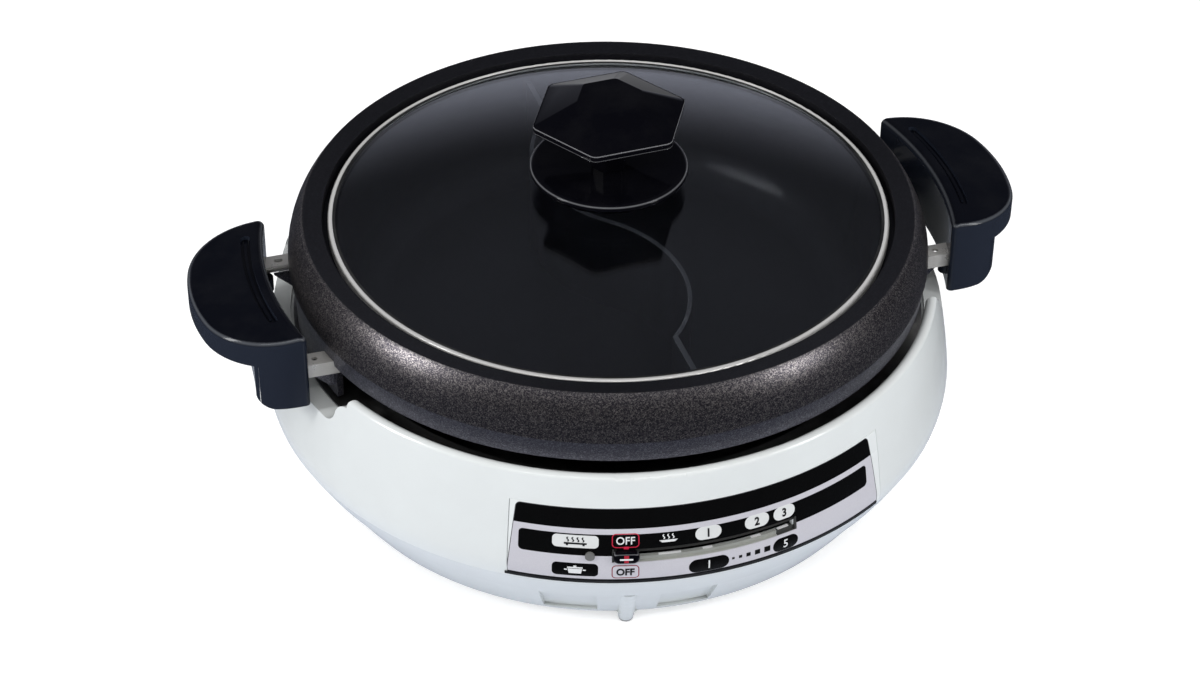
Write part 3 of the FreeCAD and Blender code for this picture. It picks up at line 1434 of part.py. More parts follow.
def make_inlet():
    """Recessed socket at the back with two contact pins and a steel latch plate for the plug."""
    socket = new_body("inlet_socket")
    outline = new_sketch(socket, "XZ_Plane", [
        box_loop("-inlet_width / 2", "inlet_middle - inlet_height / 2",
                 "inlet_width / 2", "inlet_middle + inlet_height / 2")],
        lift="-inlet_face")
    extruded(socket, outline, "inlet_depth")
    mouth = new_sketch(socket, "XZ_Plane", [
        box_loop("-inlet_width / 2 + 4", "inlet_middle - inlet_height / 2 + 3",
                 "inlet_width / 2 - 4", "inlet_middle + inlet_height / 2 - 3")],
        lift="-inlet_face + 10")
    extruded(socket, mouth, "20", cut=True)
    pins = [("-inlet_width / 2 + 11", "inlet_middle"), ("inlet_width / 2 - 11", "inlet_middle")]
    holes = new_sketch(socket, "XZ_Plane", circles=[(*pin, "pin_radius") for pin in pins],
                       lift="-inlet_face")
    extruded(socket, holes, "60", cut=True, both_ways=True)
    for number, sign in enumerate((-1, 1)):
        pin = doc.addObject("Part::Cylinder", f"contact_pin_{number + 1}")
        pin.Label = pin.Name
        bind(pin, "Radius", "pin_radius")
        bind(pin, "Height", "pin_length")
        pin.Placement = FreeCAD.Placement(
            FreeCAD.Vector(sign * (value("inlet_width") / 2 - 11), value("inlet_face") - 3,
                           value("inlet_middle")),
            FreeCAD.Rotation(X_AXIS, 90))
    latch = new_body("inlet_latch_plate")
    plate = new_sketch(latch, "XZ_Plane", [
        box_loop("-5", "inlet_middle - 5", "5", "inlet_middle + 5")], lift="-inlet_face + 9")
    extruded(latch, plate, "1")


def make_base_group():
    make_housing()
    make_panel()
    make_lamp()
    make_shield()
    make_heater()
    make_sensor()
    make_lever()
    make_thermostat()
    make_cover()
    make_foot_pads()
    make_inlet()


# ---------------------------------------------------------------- export
def is_sub_part(item):
    """True for the objects that stand for a piece: not a helper inside a body or a group."""
    if item.TypeId in ("Spreadsheet::Sheet", "App::Origin"):
        return False
    if not hasattr(item, "Shape") or item.getParentGeoFeatureGroup() is not None:
        return False
    helpers = ("Part::Fuse", "Part::Cut", "Part::Compound")
    users = [user for user in item.InList if user.TypeId in helpers]
    return not users and not item.TypeId.startswith("App::")


def main():
    make_lid()
    make_knob()
    make_pan_group()
    make_base_group()
    doc.recompute()
    for item in doc.Objects:
        if "Invalid" in item.State or "Error" in item.State:
            raise RuntimeError(f"{item.Name} failed: {item.State}")
    parts = [item for item in doc.Objects if is_sub_part(item)]
    for item in parts:
        if item.Shape.isNull() or not item.Shape.isValid():
            raise RuntimeError(f"{item.Label} has no valid shape")
    os.makedirs("parts", exist_ok=True)
    for item in parts:
        item.Shape.exportStep(os.path.join("parts", item.Label + ".step"))
    print(len(parts), "parts:", ", ".join(item.Label for item in parts))


main()
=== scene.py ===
import json
import math

import bmesh
import bpy
from mathutils import Matrix, Vector
from mathutils.bvhtree import BVHTree


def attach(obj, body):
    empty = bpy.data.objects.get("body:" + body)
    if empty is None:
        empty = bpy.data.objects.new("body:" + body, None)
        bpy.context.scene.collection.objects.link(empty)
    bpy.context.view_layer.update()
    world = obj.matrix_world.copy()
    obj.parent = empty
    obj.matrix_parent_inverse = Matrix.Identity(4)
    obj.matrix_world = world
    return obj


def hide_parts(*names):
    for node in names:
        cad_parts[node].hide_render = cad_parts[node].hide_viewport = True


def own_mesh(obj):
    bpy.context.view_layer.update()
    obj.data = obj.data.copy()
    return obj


# Electric hot pot with a glass lid: finishes, printed control panel and fine shapes around the
# construction model. Blender works in metres, +Z up, front towards -Y. Lengths that are written
# in millimetres are turned into metres with MM.
MM = 0.001

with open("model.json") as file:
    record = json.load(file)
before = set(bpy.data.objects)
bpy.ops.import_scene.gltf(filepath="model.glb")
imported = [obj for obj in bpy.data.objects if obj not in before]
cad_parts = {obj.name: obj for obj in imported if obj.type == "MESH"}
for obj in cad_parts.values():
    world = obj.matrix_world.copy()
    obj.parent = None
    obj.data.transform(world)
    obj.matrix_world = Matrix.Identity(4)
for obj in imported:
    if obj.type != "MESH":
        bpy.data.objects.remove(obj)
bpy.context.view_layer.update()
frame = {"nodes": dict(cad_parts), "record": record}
BODY_OF = {node: body for body, nodes in frame["record"]["behaviour"]["bodies"].items()
           for node in nodes}
SLOT_OF = {part["node"]: part["material_slot"] for part in frame["record"]["subparts"]}


# ---------------------------------------------------------------- node helpers
class Board:
    """Short ways to lay out one node tree."""

    def __init__(self, tree):
        self.tree = tree

    def node(self, kind, **settings):
        made = self.tree.nodes.new(kind)
        for name, setting in settings.items():
            setattr(made, name, setting)
        return made

    def feed(self, socket, source):
        """Link a socket to an output, or set it to a plain value."""
        if isinstance(source, bpy.types.NodeSocket):
            self.tree.links.new(source, socket)
        else:
            socket.default_value = source

    def maths(self, operation, *sources):
        made = self.node("ShaderNodeMath", operation=operation)
        for socket, source in zip(made.inputs, sources):
            self.feed(socket, source)
        return made.outputs[0]

    def vector(self, operation, *sources, result="Vector"):
        made = self.node("ShaderNodeVectorMath", operation=operation)
        for socket, source in zip(made.inputs, sources):
            self.feed(socket, source)
        return made.outputs[result]

    def mix(self, share, first, second):
        """Colour that goes from the first to the second."""
        made = self.node("ShaderNodeMix", data_type="RGBA")
        for index, source in ((0, share), (6, first), (7, second)):
            self.feed(made.inputs[index], source)
        return made.outputs[2]

    def spread(self, source, low, high, out_low=0.0, out_high=1.0, smooth=False):
        """Value moved from one range to another and kept inside it."""
        made = self.node("ShaderNodeMapRange", clamp=True)
        made.interpolation_type = "SMOOTHSTEP" if smooth else "LINEAR"
        for socket, number in zip(made.inputs, (source, low, high, out_low, out_high)):
            self.feed(socket, number)
        return made.outputs[0]

    def noise(self, place, scale, detail=2.0, roughness=0.5):
        made = self.node("ShaderNodeTexNoise")
        self.feed(made.inputs["Vector"], place)
        self.feed(made.inputs["Scale"], scale)
        made.inputs["Detail"].default_value = detail
        made.inputs["Roughness"].default_value = roughness
        return made.outputs["Fac"]

    def flake_colour(self, place, scale):
        """One chance colour for each cell."""
        made = self.node("ShaderNodeTexVoronoi", feature="F1")
        self.feed(made.inputs["Vector"], place)
        self.feed(made.inputs["Scale"], scale)
        return made.outputs["Color"]

    def split(self, vector):
        """The X, Y and Z of a vector."""
        made = self.node("ShaderNodeSeparateXYZ")
        self.feed(made.inputs[0], vector)
        return made.outputs

    def radius(self, place):
        """Distance from the upright axis."""
        flat = self.vector("MULTIPLY", place, (1, 1, 0))
        return self.vector("LENGTH", flat, result="Value")

    def surface_normal(self):
        return self.node("ShaderNodeNewGeometry").outputs["Normal"]

    def above_zero_squared(self, source):
        return self.maths("POWER", self.maths("MAXIMUM", source, 0.0), 2.0)

    def use(self, group, **inputs):
        """Place a node group; an input's name has underscores in place of its spaces."""
        made = self.node("ShaderNodeGroup", node_tree=group)
        for name, source in inputs.items():
            self.feed(made.inputs[name.replace("_", " ")], source)
        return made.outputs


def shader_group(name, inputs, outputs):
    """Empty shader group with named sockets: its board, its inputs and its output node."""
    group = bpy.data.node_groups.new(name, "ShaderNodeTree")
    for label, kind, start in inputs:
        socket = group.interface.new_socket(label, in_out="INPUT", socket_type=f"NodeSocket{kind}")
        socket.default_value = start
    for label, kind in outputs:
        group.interface.new_socket(label, in_out="OUTPUT", socket_type=f"NodeSocket{kind}")
    board = Board(group)
    given = board.node("NodeGroupInput").outputs
    return board, given, board.node("NodeGroupOutput").inputs


def material(name):
    """New material: its board and its Principled shader's inputs, placed on object coordinates."""
    made = bpy.data.materials.new(name)
    made.use_nodes = True
    board = Board(made.node_tree)
    shader = made.node_tree.nodes["Principled BSDF"]
    place = board.node("ShaderNodeTexCoord").outputs["Object"]
    return made, board, shader.inputs, place


def bump(board, inputs, height, strength, distance):
    made = board.node("ShaderNodeBump")
    board.feed(made.inputs["Height"], height)
    made.inputs["Strength"].default_value = strength
    made.inputs["Distance"].default_value = distance
    board.feed(inputs["Normal"], made.outputs[0])


# ---------------------------------------------------------------- shared surface effects
# sizes of the textures, as noise cells for each metre
SKIN_WAVES = 14.0
SKIN_GRAINS = 2600.0
SKIN_PATCHES = 38.0
CLOUDS = 700.0
SHEET_GRAINS = 3800.0
SHEET_SCUFFS = 160.0
GLASS_SMEARS = 22.0
PRINT_GRAINS = 1500.0
CLOTH_PATCHES = 3.0
# a sheet's grain is stretched along X, so its noise runs slowly that way
SHEET_STRETCH = (0.06, 1, 1)
# how many noise cells lie in one radian round a turned ring
LINES_ROUND = 6.0
# half the width of a printed edge's soft line, in millimetres
PRINT_EDGE = 0.06


def make_moulded_skin():
    """Moulded plastic: a faint waviness, fine grain and hand-polished patches. Upright marks steep
    faces, and Edge the roundings between them and the flat ones."""
    board, given, out = shader_group(
        "moulded_skin",
        [("Place", "Vector", (0, 0, 0)), ("Grain", "Float", 0.0), ("Roughness", "Float", 0.2)],
        [("Height", "Float"), ("Roughness", "Float"), ("Haze", "Float"), ("Upright", "Float"),
         ("Edge", "Float")])
    wave = board.noise(given["Place"], SKIN_WAVES, detail=1.0)
    grain = board.noise(given["Place"], SKIN_GRAINS, detail=1.0)
    patches = board.noise(given["Place"], SKIN_PATCHES, detail=5.0, roughness=0.62)
    board.feed(out["Height"], board.maths(
        "ADD", board.maths("MULTIPLY", wave, 0.9), board.maths("MULTIPLY", grain, given["Grain"])))
    change = board.spread(patches, 0.3, 0.75, 0.86, 1.22)
    board.feed(out["Roughness"], board.maths("MULTIPLY", given["Roughness"], change))
    board.feed(out["Haze"], board.spread(patches, 0.42, 0.7))
    lift = board.split(board.surface_normal())["Z"]
    board.feed(out["Upright"], board.spread(lift, 0.25, 0.6, 1.0, 0.0, smooth=True))
    board.feed(out["Edge"], board.maths(
        "MULTIPLY", board.spread(lift, 0.35, 0.62, smooth=True),
        board.spread(lift, 0.66, 0.86, 1.0, 0.0, smooth=True)))
    return board.tree


def make_metal_fleck():
    """Sprayed metallic coating: each flake has its own tone and leans its own way."""
    board, given, out = shader_group(
        "metal_fleck",
        [("Place", "Vector", (0, 0, 0)), ("Flakes", "Float", 1500.0), ("Lean", "Float", 0.3)],
        [("Bright", "Float"), ("Normal", "Vector")])
    colour = board.flake_colour(given["Place"], given["Flakes"])
    tone = board.node("ShaderNodeSeparateColor")
    board.feed(tone.inputs[0], colour)
    cloud = board.noise(given["Place"], CLOUDS, detail=3.0, roughness=0.7)
    bright = board.maths("MULTIPLY", board.maths("POWER", tone.outputs["Red"], 2.2),
                         board.spread(cloud, 0.3, 0.7, 0.5, 1.2))
    board.feed(out["Bright"], board.spread(bright, 0.0, 1.0))
    aside = board.vector("SUBTRACT", colour, (0.5, 0.5, 0.5))
    scaled = board.node("ShaderNodeVectorMath", operation="SCALE")
    board.feed(scaled.inputs[0], aside)
    board.feed(scaled.inputs["Scale"], given["Lean"])
    leaned = board.vector("ADD", board.surface_normal(), scaled.outputs[0])
    board.feed(out["Normal"], board.vector("NORMALIZE", leaned))
    return board.tree


def make_turned_lines():
    """Fine lines that run round the upright axis, as polishing leaves them on a ring."""
    board, given, out = shader_group(
        "turned_lines",
        [("Place", "Vector", (0, 0, 0)), ("Pitch", "Float", 4000.0)],
        [("Height", "Float"), ("Shade", "Float")])
    axes = board.split(given["Place"])
    turn = board.maths("ARCTAN2", axes["Y"], axes["X"])
    unrolled = board.node("ShaderNodeCombineXYZ")
    board.feed(unrolled.inputs["X"],
               board.maths("MULTIPLY", board.radius(given["Place"]), given["Pitch"]))
    board.feed(unrolled.inputs["Y"], board.maths("MULTIPLY", turn, LINES_ROUND))
    board.feed(unrolled.inputs["Z"], board.maths("MULTIPLY", axes["Z"], given["Pitch"]))
    lines = board.noise(unrolled.outputs[0], 1.0, detail=3.0, roughness=0.7)
    board.feed(out["Height"], lines)
    board.feed(out["Shade"], board.spread(lines, 0.3, 0.7, 0.82, 1.1))
    return board.tree


def make_sheet_grain():
    """Rolled steel sheet: straight grain along X with a few scuffs."""
    board, given, out = shader_group(
        "sheet_grain",
        [("Place", "Vector", (0, 0, 0)), ("Roughness", "Float", 0.3)],
        [("Height", "Float"), ("Shade", "Float"), ("Roughness", "Float")])
    stretched = board.vector("MULTIPLY", given["Place"], SHEET_STRETCH)
    grain = board.noise(stretched, SHEET_GRAINS, detail=3.0)
    scuff = board.noise(given["Place"], SHEET_SCUFFS, detail=5.0, roughness=0.66)
    board.feed(out["Height"], grain)
    board.feed(out["Shade"], board.maths(
        "MULTIPLY", board.spread(grain, 0.3, 0.7, 0.85, 1.08),
        board.spread(scuff, 0.3, 0.75, 1.05, 0.82)))
    board.feed(out["Roughness"], board.maths(
        "MULTIPLY", given["Roughness"], board.spread(scuff, 0.3, 0.7, 0.8, 1.5)))
    return board.tree


def make_print_patch():
    """One printed patch, a rounded rectangle on the panel, in millimetres along and up: the
    distance from its outline, and its mask."""
    board, given, out = shader_group(
        "print_patch",
        [("Along", "Float", 0.0), ("Up", "Float", 0.0), ("Middle along", "Float", 0.0),
         ("Middle up", "Float", 0.0), ("Half width", "Float", 5.0), ("Half height", "Float", 3.0),
         ("Corner", "Float", 1.0)],
        [("Mask", "Float"), ("Distance", "Float")])

    def beyond(position, middle, half):
        offset = board.maths("ABSOLUTE", board.maths("SUBTRACT", given[position], given[middle]))
        return board.maths("ADD", board.maths("SUBTRACT", offset, given[half]), given["Corner"])

    along = beyond("Along", "Middle along", "Half width")
    up = beyond("Up", "Middle up", "Half height")
    outside = board.maths("SQRT", board.maths(
        "ADD", board.above_zero_squared(along), board.above_zero_squared(up)))
    inside = board.maths("MINIMUM", board.maths("MAXIMUM", along, up), 0.0)
    distance = board.maths("SUBTRACT", board.maths("ADD", outside, inside), given["Corner"])
    board.feed(out["Distance"], distance)
    board.feed(out["Mask"], board.spread(distance, -PRINT_EDGE, PRINT_EDGE, 1.0, 0.0))
    return board.tree


MOULDED = make_moulded_skin()
FLECK = make_metal_fleck()
TURNED = make_turned_lines()
SHEET = make_sheet_grain()
PATCH = make_print_patch()


# ---------------------------------------------------------------- finishes
HAZE_GREY = 0.6
COAT_ROUGHNESS = 0.03
SKIN_BUMP = 0.25


def plastic(name, colour, roughness, grain=0.0, haze=0.04, coat=0.0, wave=0.00012, shine=0.5,
            side=None, edge=None, narrow=1.0, highlight_rims=()):
    """Moulded plastic in one colour, with patches of handling haze. A side colour is a painted
    reflection, upright faces paler and bluer as if the floor mirrored in them. An edge colour is
    a painted highlight on the roundings (a larger narrow makes it thinner). Rims are painted
    highlight lines round the part: height and half width in millimetres, and tone."""
    made, board, inputs, place = material(name)
    skin = board.use(MOULDED, Place=place, Grain=grain, Roughness=roughness)
    pale = tuple(channel + haze * (HAZE_GREY - channel) for channel in colour)
    main_colour = board.mix(skin["Haze"], (*colour, 1), (*pale, 1))
    # painted reflection: steep faces take the side colour
    if side:
        main_colour = board.mix(skin["Upright"], main_colour, (*side, 1))
    # painted highlight: the roundings take the edge colour
    if edge:
        painted_highlight = board.maths("POWER", skin["Edge"], narrow)
        main_colour = board.mix(painted_highlight, main_colour, (*edge, 1))
    # painted highlight lines at given heights
    if highlight_rims:
        level = board.split(place)["Z"]
        for height, half, tone in highlight_rims:
            line = board.maths("COMPARE", level, height * MM, half * MM)
            main_colour = board.mix(line, main_colour, (tone, tone, tone * 1.05, 1))
    board.feed(inputs["Base Color"], main_colour)
    board.feed(inputs["Roughness"], skin["Roughness"])
    inputs["Specular IOR Level"].default_value = shine
    inputs["Coat Weight"].default_value = coat
    inputs["Coat Roughness"].default_value = COAT_ROUGHNESS
    bump(board, inputs, skin["Height"], SKIN_BUMP, wave)
    return made


def sheet_steel(name, colour, roughness, metallic=1.0):
    """Plain rolled sheet or wire with straight grain."""
    made, board, inputs, place = material(name)
    grain = board.use(SHEET, Place=place, Roughness=roughness)
    dark = tuple(channel * 0.6 for channel in colour)
    board.feed(inputs["Base Color"], board.mix(grain["Shade"], (*dark, 1), (*colour, 1)))
    board.feed(inputs["Roughness"], grain["Roughness"])
    inputs["Metallic"].default_value = metallic
    bump(board, inputs, grain["Height"], 0.25, 0.00003)
    return made


# where the pan's looks change, in metres, each over a short stretch: the skirt begins at a radius,
# its cooler low band ends at a height, and the painted highlight on the divider's top lies above a
# height and inside a radius
SKIRT_START = (0.1628, 0.1645)
LOW_BAND_TOP = (0.1328, 0.1334)
DIVIDER_TOP = (0.1446, 0.1448)
DIVIDER_REACH = (0.1414, 0.1418)
# dark and bright flakes of each region
SKIRT_FLAKES = (0.054, 0.050, 0.062, 1), (0.40, 0.37, 0.36, 1)
LOW_BAND_FLAKES = (0.10, 0.10, 0.125, 1), (0.30, 0.295, 0.34, 1)
INSIDE_FLAKES = (0.003, 0.003, 0.005, 1), (0.034, 0.034, 0.044, 1)
# painted highlight on the divider's top
DIVIDER_HIGHLIGHT = (0.085, 0.085, 0.093, 1)


def coated_metal():
    """Sprayed non-stick coat with metal flakes, darker and less speckled towards the inside.
    The top of the divider is lightened as a painted highlight.
    """
    made, board, inputs, place = material("pan_coating")
    fleck = board.use(FLECK, Place=place, Flakes=2100.0, Lean=0.02)
    height = board.split(place)["Z"]
    radius = board.radius(place)
    outside = board.spread(radius, *SKIRT_START)
    skirt = board.mix(board.spread(height, *LOW_BAND_TOP, 1.0, 0.0),
                      board.mix(fleck["Bright"], *SKIRT_FLAKES),
                      board.mix(fleck["Bright"], *LOW_BAND_FLAKES))
    inner = board.mix(board.maths("MULTIPLY", fleck["Bright"], 0.35), *INSIDE_FLAKES)
    # painted highlight: the top of the divider is lightened
    divider_highlight_mask = board.maths("MULTIPLY", board.spread(height, *DIVIDER_TOP),
                      board.spread(radius, *DIVIDER_REACH, 1.0, 0.0))
    painted_highlight = board.mix(divider_highlight_mask, inner, DIVIDER_HIGHLIGHT)
    board.feed(inputs["Base Color"], board.mix(outside, painted_highlight, skirt))
    board.feed(inputs["Metallic"], board.spread(outside, 0, 1, 0.25, 0.9))
    board.feed(inputs["Roughness"], board.spread(outside, 0, 1, 0.42, 0.345))
    board.feed(inputs["Normal"], fleck["Normal"])
    return made


# the lid's steel band: radius of its middle and half its width, in metres
BAND_MIDDLE = 0.1487
BAND_HALF = 0.0014


def steel_band():
    """Polished steel with fine lines round the ring and a crowned face."""
    made, board, inputs, place = material("polished_band")
    lines = board.use(TURNED, Place=place, Pitch=5200.0)
    board.feed(inputs["Base Color"], board.mix(
        lines["Shade"], (0.62, 0.61, 0.59, 1), (0.90, 0.89, 0.87, 1)))
    inputs["Metallic"].default_value = 0.4
    inputs["Roughness"].default_value = 0.27
    offset = board.maths("SUBTRACT", board.radius(place), BAND_MIDDLE)
    across = board.maths("ABSOLUTE", board.maths("DIVIDE", offset, BAND_HALF))
    squared = board.maths("POWER", board.maths("MINIMUM", across, 1.0), 2.0)
    crown = board.maths("SQRT", board.maths(
        "MAXIMUM", board.maths("SUBTRACT", 1.0, squared), 0.02))
    height = board.maths("ADD", crown, board.maths("MULTIPLY", lines["Height"], 0.03))
    bump(board, inputs, height, 1.0, 0.0009)
    return made


GLASS_IOR = 1.58
GLASS_ROUGHNESS = (0.02, 0.05)
SHADOW_SHARE = 0.55


def clear_glass(name, tint):
    """Clear glass with faint smears. Its shadow is see-through, so that light reaches what lies
    under it."""
    made, board, inputs, place = material(name)
    smear = board.noise(place, GLASS_SMEARS, detail=5.0, roughness=0.6)
    smeared = tuple(channel * 0.96 for channel in tint)
    board.feed(inputs["Base Color"], board.mix(smear, (*tint, 1), (*smeared, 1)))
    board.feed(inputs["Roughness"], board.spread(smear, 0.45, 0.8, *GLASS_ROUGHNESS))
    inputs["Transmission Weight"].default_value = 1.0
    inputs["IOR"].default_value = GLASS_IOR
    shader = made.node_tree.nodes["Principled BSDF"]
    end = made.node_tree.nodes["Material Output"]
    clear = board.node("ShaderNodeBsdfTransparent")
    clear.inputs[0].default_value = (*(SHADOW_SHARE * channel for channel in tint), 1)
    choice = board.node("ShaderNodeMixShader")
    board.feed(choice.inputs[0], board.node("ShaderNodeLightPath").outputs["Is Shadow Ray"])
    board.feed(choice.inputs[1], shader.outputs[0])
    board.feed(choice.inputs[2], clear.outputs[0])
    board.feed(end.inputs[0], choice.outputs[0])
    return made


# ---------------------------------------------------------------- the control panel's print
# printed patches: middle as degrees to the right of the front and as height, then half width,
# half height and corner radius, all in millimetres
PANEL_RADIUS = 186.5
BLACK_BANDS = [
    (0, 94.4, 120, 6.3, 1.5),
    (-0.8, 78.6, 97.6, 6.3, 2.4),
    (0, 56.8, 120, 0.95, 0.2),
]
WHITE_PILLS = [
    (-21.8, 80.4, 11.8, 3.7, 2.4),
    (-0.9, 81.2, 6.9, 3.8, 3.7),
    (7.25, 81.3, 6.8, 3.9, 3.8),
    (12.1, 81.2, 6.3, 3.9, 3.8),
]
BLACK_PILLS = [
    (-21.8, 63.6, 11.7, 4.0, 2.4),
    (-0.85, 62.0, 10.6, 4.2, 4.1),
    (12.2, 62.1, 7.4, 4.3, 4.2),
]
POINTER = (-13.9, 76.9, 1.3, 0.9, 0.1)
# growing squares between the lowest and the highest setting: degrees and half size
RAMP = [(3.1, 0.7), (4.3, 0.9), (5.65, 1.2), (7.2, 1.5), (8.9, 1.75)]
RAMP_HEIGHT = 62.6
RAMP_CORNER = 0.05
# framed places: degrees, height and colour of the frame line
OFF_UPPER = (-14.0, 81.3)
OFF_LOWER = (-14.0, 62.6)
OFF_FRAMES = [(*OFF_UPPER, (0.5, 0.02, 0.05)), (*OFF_LOWER, (0.22, 0.005, 0.02))]
OFF_FRAME_SHAPE = (6.7, 3.9, 2.0)
OFF_FRAME_LINE = 0.26
# the panel's outline: top and corner, then each side's distance from the middle at the top and
# how far it goes out for each millimetre down
PANEL_TOP = 99.6
PANEL_CORNER = 2.6
LEFT_EDGE = (102.3, 0.09)
RIGHT_EDGE = (98.4, 0.115)
# the seam line's distance inside the outline and half its width, and the soft start of the pearl
SEAM_INSET = 0.15
SEAM_HALF = 0.2
SURROUND_EDGE = 0.08
# painted shade in the slot: between two heights in millimetres, inside a radius in metres
TROUGH_FOOT = (70.6, 70.8)
TROUGH_HEAD = (76.25, 76.35)
TROUGH_RADIUS = (0.18530, 0.18545)

PEARL = (0.72, 0.745, 0.74)
SILVER = (0.50, 0.49, 0.53, 1), (0.58, 0.57, 0.61, 1)
PRINT_BLACK = (0.0025, 0.0025, 0.0025)
PRINT_WHITE = (0.68, 0.69, 0.68)
POINTER_RED = (0.62, 0.02, 0.06)
# painted shade inside the slot
TROUGH_SHADE = (0.03, 0.03, 0.028)
SEAM_GREY = (0.06, 0.06, 0.065)


def degrees_along(degrees):
    return math.radians(degrees) * PANEL_RADIUS


class PanelPrint:
    """Paint on the panel: the colour so far, and where a point lies, in millimetres."""

    def __init__(self, board, place, colour):
        self.board = board
        self.colour = colour
        axes = board.split(place)
        turn = board.maths("ARCTAN2", axes["X"], board.maths("MULTIPLY", axes["Y"], -1.0))
        self.along = board.maths("MULTIPLY", turn, PANEL_RADIUS)
        self.up = board.maths("MULTIPLY", axes["Z"], 1 / MM)

    def patch(self, middle, height, half_width, half_height, corner, output="Mask"):
        return self.board.use(
            PATCH, Along=self.along, Up=self.up, Middle_along=degrees_along(middle),
            Middle_up=height, Half_width=half_width, Half_height=half_height,
            Corner=corner)[output]

    def paint(self, mask, colour):
        self.colour = self.board.mix(mask, self.colour, (*colour, 1))

    def past_outline(self):
        """How far a point lies beyond the slanted, rounded outline, from the corners' centres."""
        board = self.board
        down = board.maths("SUBTRACT", PANEL_TOP, self.up)
        sides = []
        for sign, (edge, slant) in ((-1.0, LEFT_EDGE), (1.0, RIGHT_EDGE)):
            reach = board.maths("ADD", board.maths("MULTIPLY", down, slant), edge)
            sides.append(board.maths("SUBTRACT", board.maths("MULTIPLY", self.along, sign), reach))
        over_side = board.maths("ADD", board.maths("MAXIMUM", *sides), PANEL_CORNER)
        over_top = board.maths("SUBTRACT", PANEL_CORNER, down)
        corner = board.maths("SQRT", board.maths(
            "ADD", board.above_zero_squared(over_side), board.above_zero_squared(over_top)))
        inside = board.maths("MINIMUM", board.maths("MAXIMUM", over_side, over_top), 0.0)
        return board.maths("ADD", corner, inside)


def printed_panel():
    """Silver-lavender fascia with black bands, pills and frames printed on it, pearl beyond it."""
    made, board, inputs, place = material("printed_panel")
    grain = board.noise(place, PRINT_GRAINS)
    art = PanelPrint(board, place, board.mix(grain, *SILVER))
    printed = 0.0
    for shape in BLACK_BANDS + BLACK_PILLS:
        mask = art.patch(*shape)
        art.paint(mask, PRINT_BLACK)
        printed = board.maths("MAXIMUM", printed, mask)
    for shape in WHITE_PILLS:
        art.paint(art.patch(*shape), PRINT_WHITE)
    for middle, half in RAMP:
        art.paint(art.patch(middle, RAMP_HEIGHT, half, half, RAMP_CORNER), PRINT_BLACK)
    for middle, height, frame_colour in OFF_FRAMES:
        distance = art.patch(middle, height, *OFF_FRAME_SHAPE, output="Distance")
        art.paint(board.maths("COMPARE", distance, 0.0, OFF_FRAME_LINE), frame_colour)
    art.paint(art.patch(*POINTER), POINTER_RED)
    # painted shade: the deep part of the slot's trough is darkened
    trough = board.maths("MULTIPLY", board.spread(art.up, *TROUGH_FOOT),
                         board.spread(art.up, *TROUGH_HEAD, 1.0, 0.0))
    deep = board.spread(board.radius(place), *TROUGH_RADIUS, 1.0, 0.0)
    art.paint(board.maths("MULTIPLY", trough, deep), TROUGH_SHADE)
    beyond = art.past_outline()
    art.paint(board.maths("COMPARE", beyond, PANEL_CORNER - SEAM_INSET, SEAM_HALF), SEAM_GREY)
    art.paint(board.spread(beyond, PANEL_CORNER, PANEL_CORNER + SURROUND_EDGE), PEARL)
    board.feed(inputs["Base Color"], art.colour)
    board.feed(inputs["Roughness"], board.spread(printed, 0, 1, 0.34, 0.26))
    inputs["Specular IOR Level"].default_value = 0.18
    bump(board, inputs, grain, 0.1, 0.00003)
    return made


# ---------------------------------------------------------------- finish of every slot
# painted highlight lines round the knob's rim: height and half width in millimetres, and tone
KNOB_HIGHLIGHT_RIMS = [(215.15, 0.28, 0.17), (212.35, 0.2, 0.09)]


